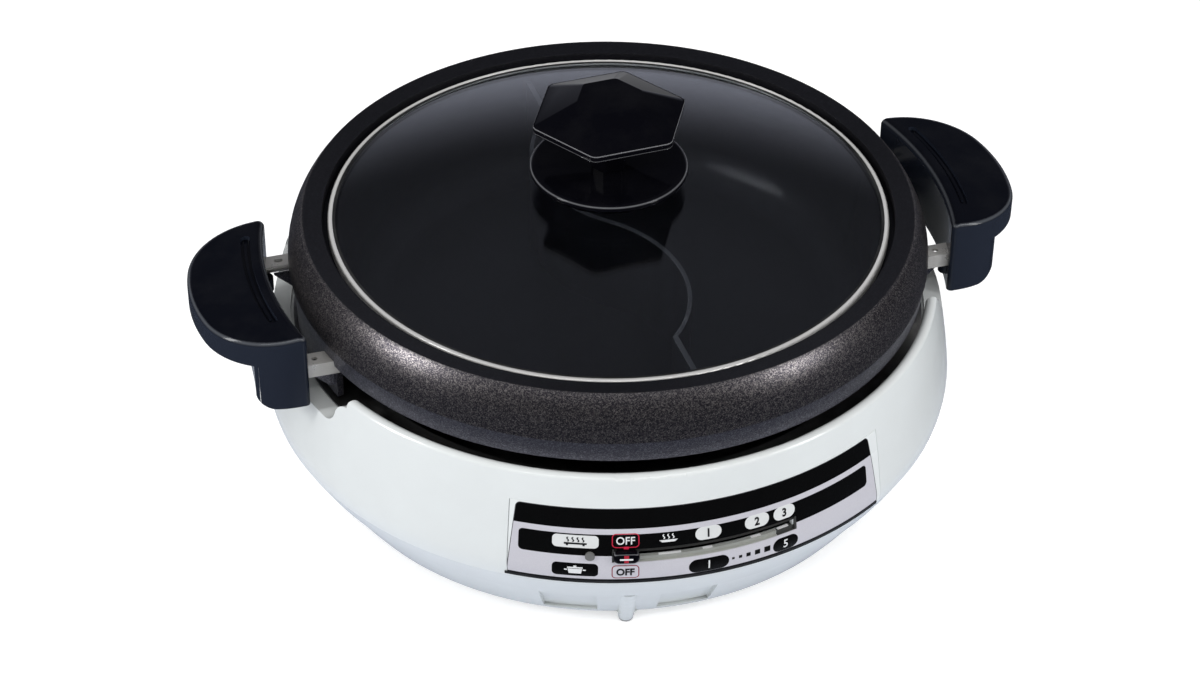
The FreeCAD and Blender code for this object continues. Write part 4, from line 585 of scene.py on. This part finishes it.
def make_finishes():
    """The finish of every material slot."""
    return {
        "clear_glass": clear_glass("lid_glass_clear", (0.84, 0.87, 0.90)),
        "steel_band": steel_band(),
        "soft_seal": plastic("seal_rubber", (0.008, 0.008, 0.008), 0.55, grain=0.3),
        # painted highlights: the knob's edge colour and rims
        "knob_black": plastic("knob_black", (0.002, 0.002, 0.0035), 0.06, haze=0.004, shine=0.09,
                              edge=(0.11, 0.112, 0.12), narrow=3.0, highlight_rims=KNOB_HIGHLIGHT_RIMS),
        # painted reflection: the handle's side colour; painted highlight: its edge colour
        "handle_black": plastic("handle_black", (0.0015, 0.002, 0.0045), 0.13, haze=0.005,
                                shine=0.25, side=(0.016, 0.020, 0.031), edge=(0.065, 0.07, 0.08)),
        "pan_coating": coated_metal(),
        "arm_steel": sheet_steel("arm_steel", (0.80, 0.78, 0.74), 0.3, metallic=0.5),
        "fastener_steel": sheet_steel("fastener_steel", (0.52, 0.52, 0.52), 0.3),
        "pearl_white": plastic("pearl_white", PEARL, 0.22, haze=-0.12, coat=0.35),
        "panel_silver": printed_panel(),
        "lens_grey": plastic("lens_grey", (0.16, 0.16, 0.155), 0.2),
        "lamp_glass": clear_glass("lamp_glass", (0.9, 0.5, 0.35)),
        "shield_steel": sheet_steel("shield_steel", (0.30, 0.30, 0.30), 0.35),
        "heater_sheath": sheet_steel("heater_sheath", (0.10, 0.095, 0.09), 0.5),
        "sensor_aluminium": sheet_steel("sensor_aluminium", (0.72, 0.72, 0.72), 0.36),
        "spring_steel": sheet_steel("spring_steel", (0.6, 0.6, 0.6), 0.2),
        "lever_black": plastic("lever_black", (0.02, 0.02, 0.02), 0.5, grain=0.2),
        "thermostat_brown": plastic("thermostat_brown", (0.09, 0.045, 0.025), 0.45, grain=0.2),
        "brass": sheet_steel("contact_brass", (0.66, 0.47, 0.19), 0.28),
        "cover_white": plastic("cover_white", (0.56, 0.57, 0.56), 0.5, grain=0.35, haze=-0.1),
        "pad_rubber": plastic("pad_rubber", (0.22, 0.225, 0.22), 0.6, grain=0.4),
        "inlet_black": plastic("inlet_black", (0.012, 0.012, 0.013), 0.42, grain=0.25),
        "seal_white": plastic("seal_white", (0.6, 0.58, 0.52), 0.8, grain=0.6),
    }


def dress_nodes(finishes):
    """Give every node of the construction model the finish of its slot."""
    for node, slot in SLOT_OF.items():
        piece = frame["nodes"][node]
        piece.data.materials.clear()
        piece.data.materials.append(finishes[slot])


# ---------------------------------------------------------------- pieces
def make_piece(name, points, faces, finish, body, slot):
    """Piece from points and faces, with shared corners and faces turned outwards."""
    mesh = bpy.data.meshes.new(name)
    mesh.from_pydata(points, [], faces)
    shape = bmesh.new()
    shape.from_mesh(mesh)
    bmesh.ops.remove_doubles(shape, verts=shape.verts, dist=1e-6)
    bmesh.ops.recalc_face_normals(shape, faces=shape.faces)
    shape.to_mesh(mesh)
    shape.free()
    mesh.materials.append(finish)
    piece = bpy.data.objects.new(name, mesh)
    bpy.context.scene.collection.objects.link(piece)
    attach(piece, body)
    return piece


def joined(parts):
    """Points and faces of several solids as one list of each."""
    points, faces = [], []
    for spots, sides in parts:
        start = len(points)
        points += spots
        faces += [tuple(start + index for index in side) for side in sides]
    return points, faces


def ring_sides(count, ring):
    """Four-cornered faces between one ring of points and the next."""
    faces = []
    for corner in range(count):
        here, after = ring * count + corner, ring * count + (corner + 1) % count
        faces.append((here, after, after + count, here + count))
    return faces


# ---------------------------------------------------------------- printed marks
INK_THICKNESS = 0.1
# how far a mark's underside lies below the face: the slider's marks start above its dome
INK_SUNK = 0.02
SLIDER_MARK_SUNK = -0.06
# longest straight piece of a mark on the curved face
LONGEST_BAR = 2.4
# ray for finding the face starts this far out, in metres
OUTSIDE_ALL = 0.25


def surface_of(mesh):
    """Search tree of a mesh's faces, for putting points on its surface."""
    mesh.calc_loop_triangles()
    return BVHTree.FromPolygons([corner.co[:] for corner in mesh.vertices],
                                [tuple(face.vertices) for face in mesh.loop_triangles])


def bearing(along):
    """Outward direction at a distance in millimetres to the right of the panel's middle."""
    turn = along / PANEL_RADIUS
    return Vector((math.sin(turn), -math.cos(turn), 0))


def on_face(surface, along, up, proud):
    """Point a little proud of the face that looks forwards at that distance and height."""
    outward = bearing(along)
    start = outward * OUTSIDE_ALL + Vector((0, 0, up * MM))
    hit = surface.ray_cast(start, -outward)[0]
    return hit + outward * proud * MM


def slab(corners):
    """Flat convex mark as a thin closed solid: points along, up and proud, and its faces."""
    count = len(corners)
    points = [(x, y, level) for level in (0.0, INK_THICKNESS) for x, y in corners]
    ends = [tuple(reversed(range(count))), tuple(range(count, 2 * count))]
    return points, ends + ring_sides(count, 0)


def bar(x, y, width, height, foot=None):
    """Upright rectangle, or one with a narrower foot, in lengths that follow the curved face."""
    foot = foot or width
    pieces = max(1, round(width / LONGEST_BAR))
    marks = []
    for index in range(pieces):
        left, right = (share / pieces - 0.5 for share in (index, index + 1))
        marks.append(slab([(x + foot * left, y - height / 2), (x + foot * right, y - height / 2),
                           (x + width * right, y + height / 2),
                           (x + width * left, y + height / 2)]))
    return marks


WAVE_STEPS = 8
WAVE_SWAY = 0.38


def wave_line(x, y, height, width):
    """Short upright wavy stroke, made of slanting pieces."""
    spots = []
    for step in range(WAVE_STEPS + 1):
        share = step / WAVE_STEPS
        spots.append((x + WAVE_SWAY * math.sin(2 * math.pi * share), y + height * (share - 0.5)))
    half = width / 2
    return [slab([(x0 - half, y0), (x0 + half, y0), (x1 + half, y1), (x1 - half, y1)])
            for (x0, y0), (x1, y1) in zip(spots, spots[1:])]


# levels at which characters are cut across, so that they can follow the panel's bowed face
CUT_LEVELS = (0.15, 0.3, 0.45, 0.6)


def letters(words, x, y, height, narrow=0.86, weight=0.012):
    """Plain block characters as thin solids, centred on a point."""
    curve = bpy.data.curves.new("characters", "FONT")
    curve.body = words
    curve.size = 1.0
    curve.offset = weight
    curve.extrude = 0.5
    curve.resolution_u = 4
    holder = bpy.data.objects.new("characters", curve)
    mesh = bpy.data.meshes.new_from_object(holder)
    shape = bmesh.new()
    shape.from_mesh(mesh)
    for level in CUT_LEVELS:
        bmesh.ops.bisect_plane(shape, geom=shape.verts[:] + shape.edges[:] + shape.faces[:],
                               plane_co=(0, level, 0), plane_no=(0, 1, 0))
    shape.to_mesh(mesh)
    shape.free()
    lows = [min(corner.co[axis] for corner in mesh.vertices) for axis in (0, 1)]
    highs = [max(corner.co[axis] for corner in mesh.vertices) for axis in (0, 1)]
    size = height / (highs[1] - lows[1])
    points = []
    for corner in mesh.vertices:
        points.append((x + (corner.co.x - (lows[0] + highs[0]) / 2) * size * narrow,
                       y + (corner.co.y - (lows[1] + highs[1]) / 2) * size,
                       (corner.co.z + 0.5) * INK_THICKNESS))
    faces = [tuple(face.vertices) for face in mesh.polygons]
    bpy.data.objects.remove(holder)
    bpy.data.curves.remove(curve)
    bpy.data.meshes.remove(mesh)
    return points, faces


def print_marks(name, base, body, marks, finish, slot, sunk=INK_SUNK):
    """One piece of ink laid over the front face of another."""
    surface = surface_of(base.data)
    spots, faces = joined(marks)
    points = [on_face(surface, x, y, proud - sunk) for x, y, proud in spots]
    return make_piece(name, points, faces, finish, body, slot)


def ink(name, colour):
    return plastic(name, colour, 0.4, grain=0.2, haze=0.02, wave=0.00001, shine=0.3)


def pot_sign(degrees, y):
    """Side view of a pot with its lid, grips and knob."""
    x = degrees_along(degrees)
    vessel = bar(x, y - 0.9, 7.4, 2.9, foot=6.2)
    lid = bar(x, y + 1.25, 7.8, 0.7) + bar(x, y + 2.1, 1.5, 0.7)
    grips = bar(x - 4.7, y - 0.1, 1.5, 0.7) + bar(x + 4.7, y - 0.1, 1.5, 0.7)
    return vessel + lid + grips


def plate_sign(degrees, y):
    """Flat plate on two feet with heat rising from it."""
    x = degrees_along(degrees)
    marks = bar(x, y - 1.2, 11.6, 1.0)
    marks += bar(x - 4.2, y - 2.1, 1.1, 0.8) + bar(x + 4.2, y - 2.1, 1.1, 0.8)
    for offset in (-3.9, -1.3, 1.3, 3.9):
        marks += wave_line(x + offset, y + 1.1, 2.7, 0.75)
    return marks


def warm_sign(degrees, y):
    """Shallow dish with heat rising from it."""
    x = degrees_along(degrees)
    marks = bar(x, y - 1.6, 9.6, 1.3, foot=6.4)
    for offset in (-2.4, 0.0, 2.4):
        marks += wave_line(x + offset, y + 1.0, 2.7, 0.65)
    return marks


# places of the signs: degrees and height
PLATE_PLACE = (-21.8, 80.4)
POT_PLACE = (-21.8, 63.6)
WARM_PLACE = (-7.3, 81.4)
UPPER_NUMBERS = {"1": (-0.9, 81.2), "2": (7.25, 81.2), "3": (12.1, 81.2)}
LOWER_NUMBERS = {"1": (-0.85, 62.0), "5": (12.2, 62.1)}
# heights of the characters, the narrowing of OFF, and the bolder stroke of dark characters
NUMBER_HEIGHT = 5.0
OFF_HEIGHT = 4.5
OFF_NARROW = 0.9
DARK_WEIGHT = 0.035
# dark line along the panel's lower edge: its outline as radius and height, and its ends in degrees
TRIM = [(187.30, 54.9), (187.46, 54.9), (187.60, 56.6), (187.40, 56.6)]
TRIM_ENDS = (-32.9, 31.8)
TRIM_STEPS = 40


def make_marks():
    """The panel's signs in dark and light ink, and the line along its lower edge."""
    dark = ink("ink_black", (0.005, 0.005, 0.006))
    light = ink("ink_white", (0.72, 0.73, 0.73))
    panel = frame["nodes"]["control_panel"]
    body, slot = BODY_OF["control_panel"], "panel_silver"
    on_white = plate_sign(*PLATE_PLACE)
    for number, (degrees, height) in UPPER_NUMBERS.items():
        on_white.append(letters(number, degrees_along(degrees), height, NUMBER_HEIGHT,
                                weight=DARK_WEIGHT))
    on_white.append(letters("OFF", degrees_along(OFF_LOWER[0]), OFF_LOWER[1], OFF_HEIGHT,
                            narrow=OFF_NARROW, weight=DARK_WEIGHT))
    print_marks("panel_signs_dark", panel, body, on_white, dark, slot)
    on_black = pot_sign(*POT_PLACE) + warm_sign(*WARM_PLACE)
    on_black.append(letters("OFF", degrees_along(OFF_UPPER[0]), OFF_UPPER[1], OFF_HEIGHT,
                            narrow=OFF_NARROW))
    for number, (degrees, height) in LOWER_NUMBERS.items():
        on_black.append(letters(number, degrees_along(degrees), height, NUMBER_HEIGHT))
    print_marks("panel_signs_light", panel, body, on_black, light, slot)
    make_piece("panel_trim", *swept(TRIM, *TRIM_ENDS, TRIM_STEPS), dark, body, slot)


# ---------------------------------------------------------------- the trough under the slider
# outlines as radius and height in millimetres, ends as degrees to the right of the front
LINING = [(186.7, 68.32), (186.7, 68.46), (185.40, 68.46), (185.40, 70.64), (183.4, 70.64),
          (183.4, 70.53), (185.24, 70.53), (185.24, 68.32)]
LINING_ENDS = (-15.9, 10.7)
DARK_END = (10.8, 14.1)
END_CAP = [(185.22, 68.4), (186.8, 68.4), (186.0, 76.2), (185.22, 76.2)]
END_CAPS = [(-16.05, -15.8), (13.95, 14.25)]
DASH_OUTLINE = [(185.2, 70.63), (185.2, 70.76), (183.6, 70.76), (183.6, 70.63)]
DASHES = [(-8.8, -5.2), (-1.7, -0.1), (6.4, 8.1), (11.1, 13.1)]
LINING_STEPS = 30
DARK_END_STEPS = 6
DASH_STEPS = 4


def swept(outline, first, last, steps):
    """Closed strip with one outline, swept round the upright axis between two angles."""
    points, faces = [], []
    count = len(outline)
    for step in range(steps + 1):
        turn = math.radians(first + (last - first) * step / steps)
        for radius, height in outline:
            points.append(Vector((radius * math.sin(turn), -radius * math.cos(turn), height)) * MM)
    for step in range(steps):
        faces += ring_sides(count, step)
    faces.append(tuple(range(count)))
    faces.append(tuple(reversed(range(steps * count, (steps + 1) * count))))
    return points, faces


def make_trough():
    """Silver floor of the trough, its dark ends and the dashes that mark the settings."""
    silver = sheet_steel("trough_silver", (0.42, 0.43, 0.40), 0.34, metallic=0.3)
    dark = plastic("trough_dark", (0.035, 0.036, 0.034), 0.3)
    light = ink("dash_white", (0.75, 0.75, 0.75))
    body, slot = BODY_OF["control_panel"], "panel_silver"
    make_piece("trough_lining", *swept(LINING, *LINING_ENDS, LINING_STEPS), silver, body, slot)
    ends = [swept(LINING, *DARK_END, DARK_END_STEPS)]
    ends += [swept(END_CAP, first, last, 1) for first, last in END_CAPS]
    make_piece("trough_ends", *joined(ends), dark, body, slot)
    dashes = [swept(DASH_OUTLINE, first, last, DASH_STEPS) for first, last in DASHES]
    make_piece("setting_dashes", *joined(dashes), light, body, slot)


# ---------------------------------------------------------------- the slider
# middle as degrees and height; rings from back to front as radius and how far in
SLIDER_MIDDLE = (-13.9, 72.5)
SLIDER_HALF = (6.7, 3.5)
SLIDER_CORNER = 3.3
CORNER_STEPS = 8
SLIDER_RINGS = [(185.6, 0.5), (185.9, 0.1), (186.3, 0.0), (188.2, 0.0), (188.9, 0.2), (189.4, 0.6),
                (189.7, 1.2), (189.8, 2.0)]
# marks on it: height of the middle, width and height
SLIDER_DASH = (72.6, 6.6, 1.0)
POINTER_LINES = [(74.1, 2.4, 1.9), (71.2, 2.2, 1.6)]


def slider_outline(inset):
    """Rounded oblong in millimetres along and up, drawn in by the inset."""
    points = []
    radius = SLIDER_CORNER - inset
    for quarter, (right, top) in enumerate(((1, 1), (-1, 1), (-1, -1), (1, -1))):
        for step in range(CORNER_STEPS + 1):
            turn = math.radians(90 * quarter + 90 * step / CORNER_STEPS)
            points.append((right * (SLIDER_HALF[0] - SLIDER_CORNER) + radius * math.cos(turn),
                           top * (SLIDER_HALF[1] - SLIDER_CORNER) + radius * math.sin(turn)))
    return points


def make_slider(finish):
    """Domed oblong slider with its white dash and the red pointer line."""
    middle, height = SLIDER_MIDDLE
    place = degrees_along(middle)
    body, slot = BODY_OF["slider_knob"], SLOT_OF["slider_knob"]
    points = []
    for radius, inset in SLIDER_RINGS:
        for along, up in slider_outline(inset):
            points.append((bearing(place + along) * radius + Vector((0, 0, height + up))) * MM)
    count = len(slider_outline(0))
    faces = [tuple(range(count)), tuple(range(len(points) - count, len(points)))]
    for ring in range(len(SLIDER_RINGS) - 1):
        faces += ring_sides(count, ring)
    grip = make_piece("slider_grip", points, faces, finish, body, slot)
    for face in grip.data.polygons:
        face.use_smooth = len(face.vertices) == 4
    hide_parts("slider_knob")
    light = ink("slider_white", (0.78, 0.78, 0.78))
    red = ink("slider_red", (0.42, 0.01, 0.03))
    level, width, tall = SLIDER_DASH
    print_marks("slider_dash", grip, body, bar(place, level, width, tall), light, slot,
                sunk=SLIDER_MARK_SUNK)
    lines = []
    for level, width, tall in POINTER_LINES:
        lines += bar(place, level, width, tall)
    print_marks("slider_pointer", grip, body, lines, red, slot, sunk=SLIDER_MARK_SUNK)


# ---------------------------------------------------------------- copies that stand for nodes
# widths in millimetres, angles in degrees
KNOB_ROUNDING = 1.4
KNOB_SHARPEST = 24
ROUNDING_STEPS = 3
FLAT_ENOUGH = 0.8


def softened(node, name, width, sharpest):
    """Copy of a node in its place, with every edge that turns by more than an angle rounded."""
    source = frame["nodes"][node]
    shape = bmesh.new()
    shape.from_mesh(source.data)
    bmesh.ops.remove_doubles(shape, verts=shape.verts, dist=1e-6)
    bmesh.ops.dissolve_limit(shape, angle_limit=math.radians(FLAT_ENOUGH), verts=shape.verts,
                             edges=shape.edges)
    mesh = bpy.data.meshes.new(name)
    shape.to_mesh(mesh)
    shape.free()
    for face in mesh.polygons:
        face.use_smooth = True
    holder = bpy.data.objects.new(name + "_draft", mesh)
    bpy.context.scene.collection.objects.link(holder)
    edge = holder.modifiers.new("edge", "BEVEL")
    edge.width = width * MM
    edge.segments = ROUNDING_STEPS
    edge.limit_method = "ANGLE"
    edge.angle_limit = math.radians(sharpest)
    edge.harden_normals = True
    evaluated = holder.evaluated_get(bpy.context.evaluated_depsgraph_get())
    finished = bpy.data.meshes.new_from_object(evaluated)
    bpy.data.objects.remove(holder)
    finished.name = name
    finished.materials.clear()
    finished.materials.append(source.data.materials[0])
    piece = bpy.data.objects.new(name, finished)
    bpy.context.scene.collection.objects.link(piece)
    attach(piece, BODY_OF[node])
    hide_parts(node)


def make_spring():
    """Copy of the sensor's spring that stands in for the node, on the node's body."""
    source = frame["nodes"]["sensor_spring"]
    coil = bpy.data.objects.new("sensor_coil", source.data.copy())
    bpy.context.scene.collection.objects.link(coil)
    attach(coil, BODY_OF["sensor_spring"])
    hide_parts("sensor_spring")
    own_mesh(coil)


# ---------------------------------------------------------------- camera, floor and light
CAMERA_PLACE = Vector((-388.9, -1258.5, 1073.5)) * MM
CAMERA_HEADING = math.radians(17)
CAMERA_PITCH = 0.652
CAMERA_ROLL = 0.008
LENS = 90
SENSOR = 36
FARTHEST = 50


def make_camera():
    lens = bpy.data.cameras.new("camera")
    lens.lens = LENS
    lens.sensor_width = SENSOR
    lens.clip_end = FARTHEST
    camera = bpy.data.objects.new("camera", lens)
    forward = Vector((math.sin(CAMERA_HEADING) * math.cos(CAMERA_PITCH),
                      math.cos(CAMERA_HEADING) * math.cos(CAMERA_PITCH), -math.sin(CAMERA_PITCH)))
    right = Vector((math.cos(CAMERA_HEADING), -math.sin(CAMERA_HEADING), 0))
    upward = right.cross(forward)
    turned_right = right * math.cos(CAMERA_ROLL) + upward * math.sin(CAMERA_ROLL)
    turned_up = turned_right.cross(forward)
    axes = Matrix((turned_right, turned_up, -forward)).transposed()
    camera.matrix_world = Matrix.Translation(CAMERA_PLACE) @ axes.to_4x4()
    bpy.context.scene.collection.objects.link(camera)
    bpy.context.scene.camera = camera


# directions away from the camera and across, level with the floor
BACK_WALL = (0.29, 0.957, 0.0)
ACROSS = (0.957, -0.29, 0.0)
FLOOR_REACH = 6.0
FLOOR_GLOW = 0.5
# cloth as it lights the object, and as the camera sees it
FLOOR_CLOTH = (0.79, 0.825, 0.89, 1), (0.81, 0.845, 0.91, 1)
FLOOR_SEEN = (0.78, 0.78, 0.78, 1)
# cloth as shiny faces mirror it: pale close in, dark further out, pale again far behind
MIRROR_NEAR = (0.62, 0.66, 0.76, 1)
MIRROR_OUT = (0.04, 0.045, 0.06, 1)
MIRROR_BEHIND = (0.75, 0.76, 0.8, 1)
NEAR_ENDS = (0.20, 0.27)
BEHIND_STARTS = (0.5, 1.0)
BEHIND_NARROWS = 1.2


def make_floor():
    mesh = bpy.data.meshes.new("floor")
    corners = [(-FLOOR_REACH, -FLOOR_REACH, 0), (FLOOR_REACH, -FLOOR_REACH, 0),
               (FLOOR_REACH, FLOOR_REACH, 0), (-FLOOR_REACH, FLOOR_REACH, 0)]
    mesh.from_pydata(corners, [], [(0, 1, 2, 3)])
    floor = bpy.data.objects.new("floor", mesh)
    bpy.context.scene.collection.objects.link(floor)
    made, board, inputs, place = material("floor_white")
    path = board.node("ShaderNodeLightPath").outputs
    cloth = board.mix(board.noise(place, CLOTH_PATCHES), *FLOOR_CLOTH)
    mirrored = board.mix(board.spread(board.radius(place), *NEAR_ENDS), MIRROR_NEAR, MIRROR_OUT)
    depth = board.vector("DOT_PRODUCT", place, BACK_WALL, result="Value")
    aside = board.maths("ABSOLUTE", board.vector("DOT_PRODUCT", place, ACROSS, result="Value"))
    far = board.maths("SUBTRACT", depth, board.maths("MULTIPLY", aside, BEHIND_NARROWS))
    mirrored = board.mix(board.spread(far, *BEHIND_STARTS), mirrored, MIRROR_BEHIND)
    seen = board.mix(path["Is Camera Ray"], cloth, FLOOR_SEEN)
    board.feed(inputs["Base Color"], board.mix(path["Is Glossy Ray"], seen, mirrored))
    inputs["Roughness"].default_value = 0.9
    inputs["Specular IOR Level"].default_value = 0.0
    shown = board.maths("MAXIMUM", path["Is Camera Ray"], path["Is Transmission Ray"])
    board.feed(inputs["Emission Color"], board.mix(shown, (0, 0, 0, 1), (1, 1, 1, 1)))
    inputs["Emission Strength"].default_value = FLOOR_GLOW
    mesh.materials.append(made)


SKY_LIGHT = 0.60
# mirrored room: a pale wall low behind, and a dim ceiling that grows brighter upwards
WALL_HEIGHT = (0.05, 0.45)
WALL_WIDTH = (0.5, 0.85)
WALL_LIGHT = 0.5
CEILING_HEIGHT = (0.3, 0.75)
CEILING_LIGHT = (0.035, 0.11)
MIRROR_TINT = (0.88, 0.91, 1.08, 1)


def make_sky():
    """Even light for the surfaces; mirrored, a dark room that is pale only low behind."""
    world = bpy.data.worlds.new("studio")
    world.use_nodes = True
    bpy.context.scene.world = world
    board = Board(world.node_tree)
    direction = board.node("ShaderNodeTexCoord").outputs["Generated"]
    height = board.split(direction)["Z"]
    low = board.spread(height, *WALL_HEIGHT, 1.0, 0.0, smooth=True)
    towards = board.vector("DOT_PRODUCT", direction, BACK_WALL, result="Value")
    behind = board.spread(towards, *WALL_WIDTH, smooth=True)
    wall = board.maths("MULTIPLY", board.maths("MULTIPLY", low, behind), WALL_LIGHT)
    room = board.maths("ADD", wall, board.spread(height, *CEILING_HEIGHT, *CEILING_LIGHT))
    path = board.node("ShaderNodeLightPath").outputs
    mirrored = board.maths("MAXIMUM", path["Is Glossy Ray"], path["Is Transmission Ray"])
    plain = board.maths("MULTIPLY", board.maths("SUBTRACT", 1.0, mirrored), SKY_LIGHT)
    strength = board.maths("ADD", board.maths("MULTIPLY", mirrored, room), plain)
    strength = board.maths("MAXIMUM", strength, path["Is Camera Ray"])
    back = world.node_tree.nodes["Background"].inputs
    board.feed(back["Color"], board.mix(mirrored, (1, 1, 1, 1), MIRROR_TINT))
    board.feed(back["Strength"], strength)


# name: place and size in metres, power in watts
LAMPS = {
    "left_softbox": ((-1.62, -0.14, 0.86), (0.34, 0.9), 13),
    "right_softbox": ((1.19, -1.11, 0.86), (0.35, 0.9), 8),
    "front_strip": ((-0.05, -1.05, 1.33), (2.2, 0.08), 7),
}
LAMP_TARGET = Vector((0, 0, 0.1))


def make_lights():
    for name, (place, (width, length), power) in LAMPS.items():
        light = bpy.data.lights.new(name, "AREA")
        light.shape = "RECTANGLE"
        light.size = width
        light.size_y = length
        light.energy = power
        lamp = bpy.data.objects.new(name, light)
        direction = LAMP_TARGET - Vector(place)
        lamp.matrix_world = (Matrix.Translation(place)
                             @ direction.to_track_quat("-Z", "Y").to_matrix().to_4x4())
        bpy.context.scene.collection.objects.link(lamp)


# ---------------------------------------------------------------- the scene
def main():
    bpy.context.scene.view_settings.view_transform = "Standard"
    make_camera()
    make_floor()
    make_sky()
    make_lights()
    finishes = make_finishes()
    dress_nodes(finishes)
    make_marks()
    make_trough()
    make_slider(finishes[SLOT_OF["slider_knob"]])
    softened("lid_knob", "knob_grip", KNOB_ROUNDING, KNOB_SHARPEST)
    make_spring()


main()
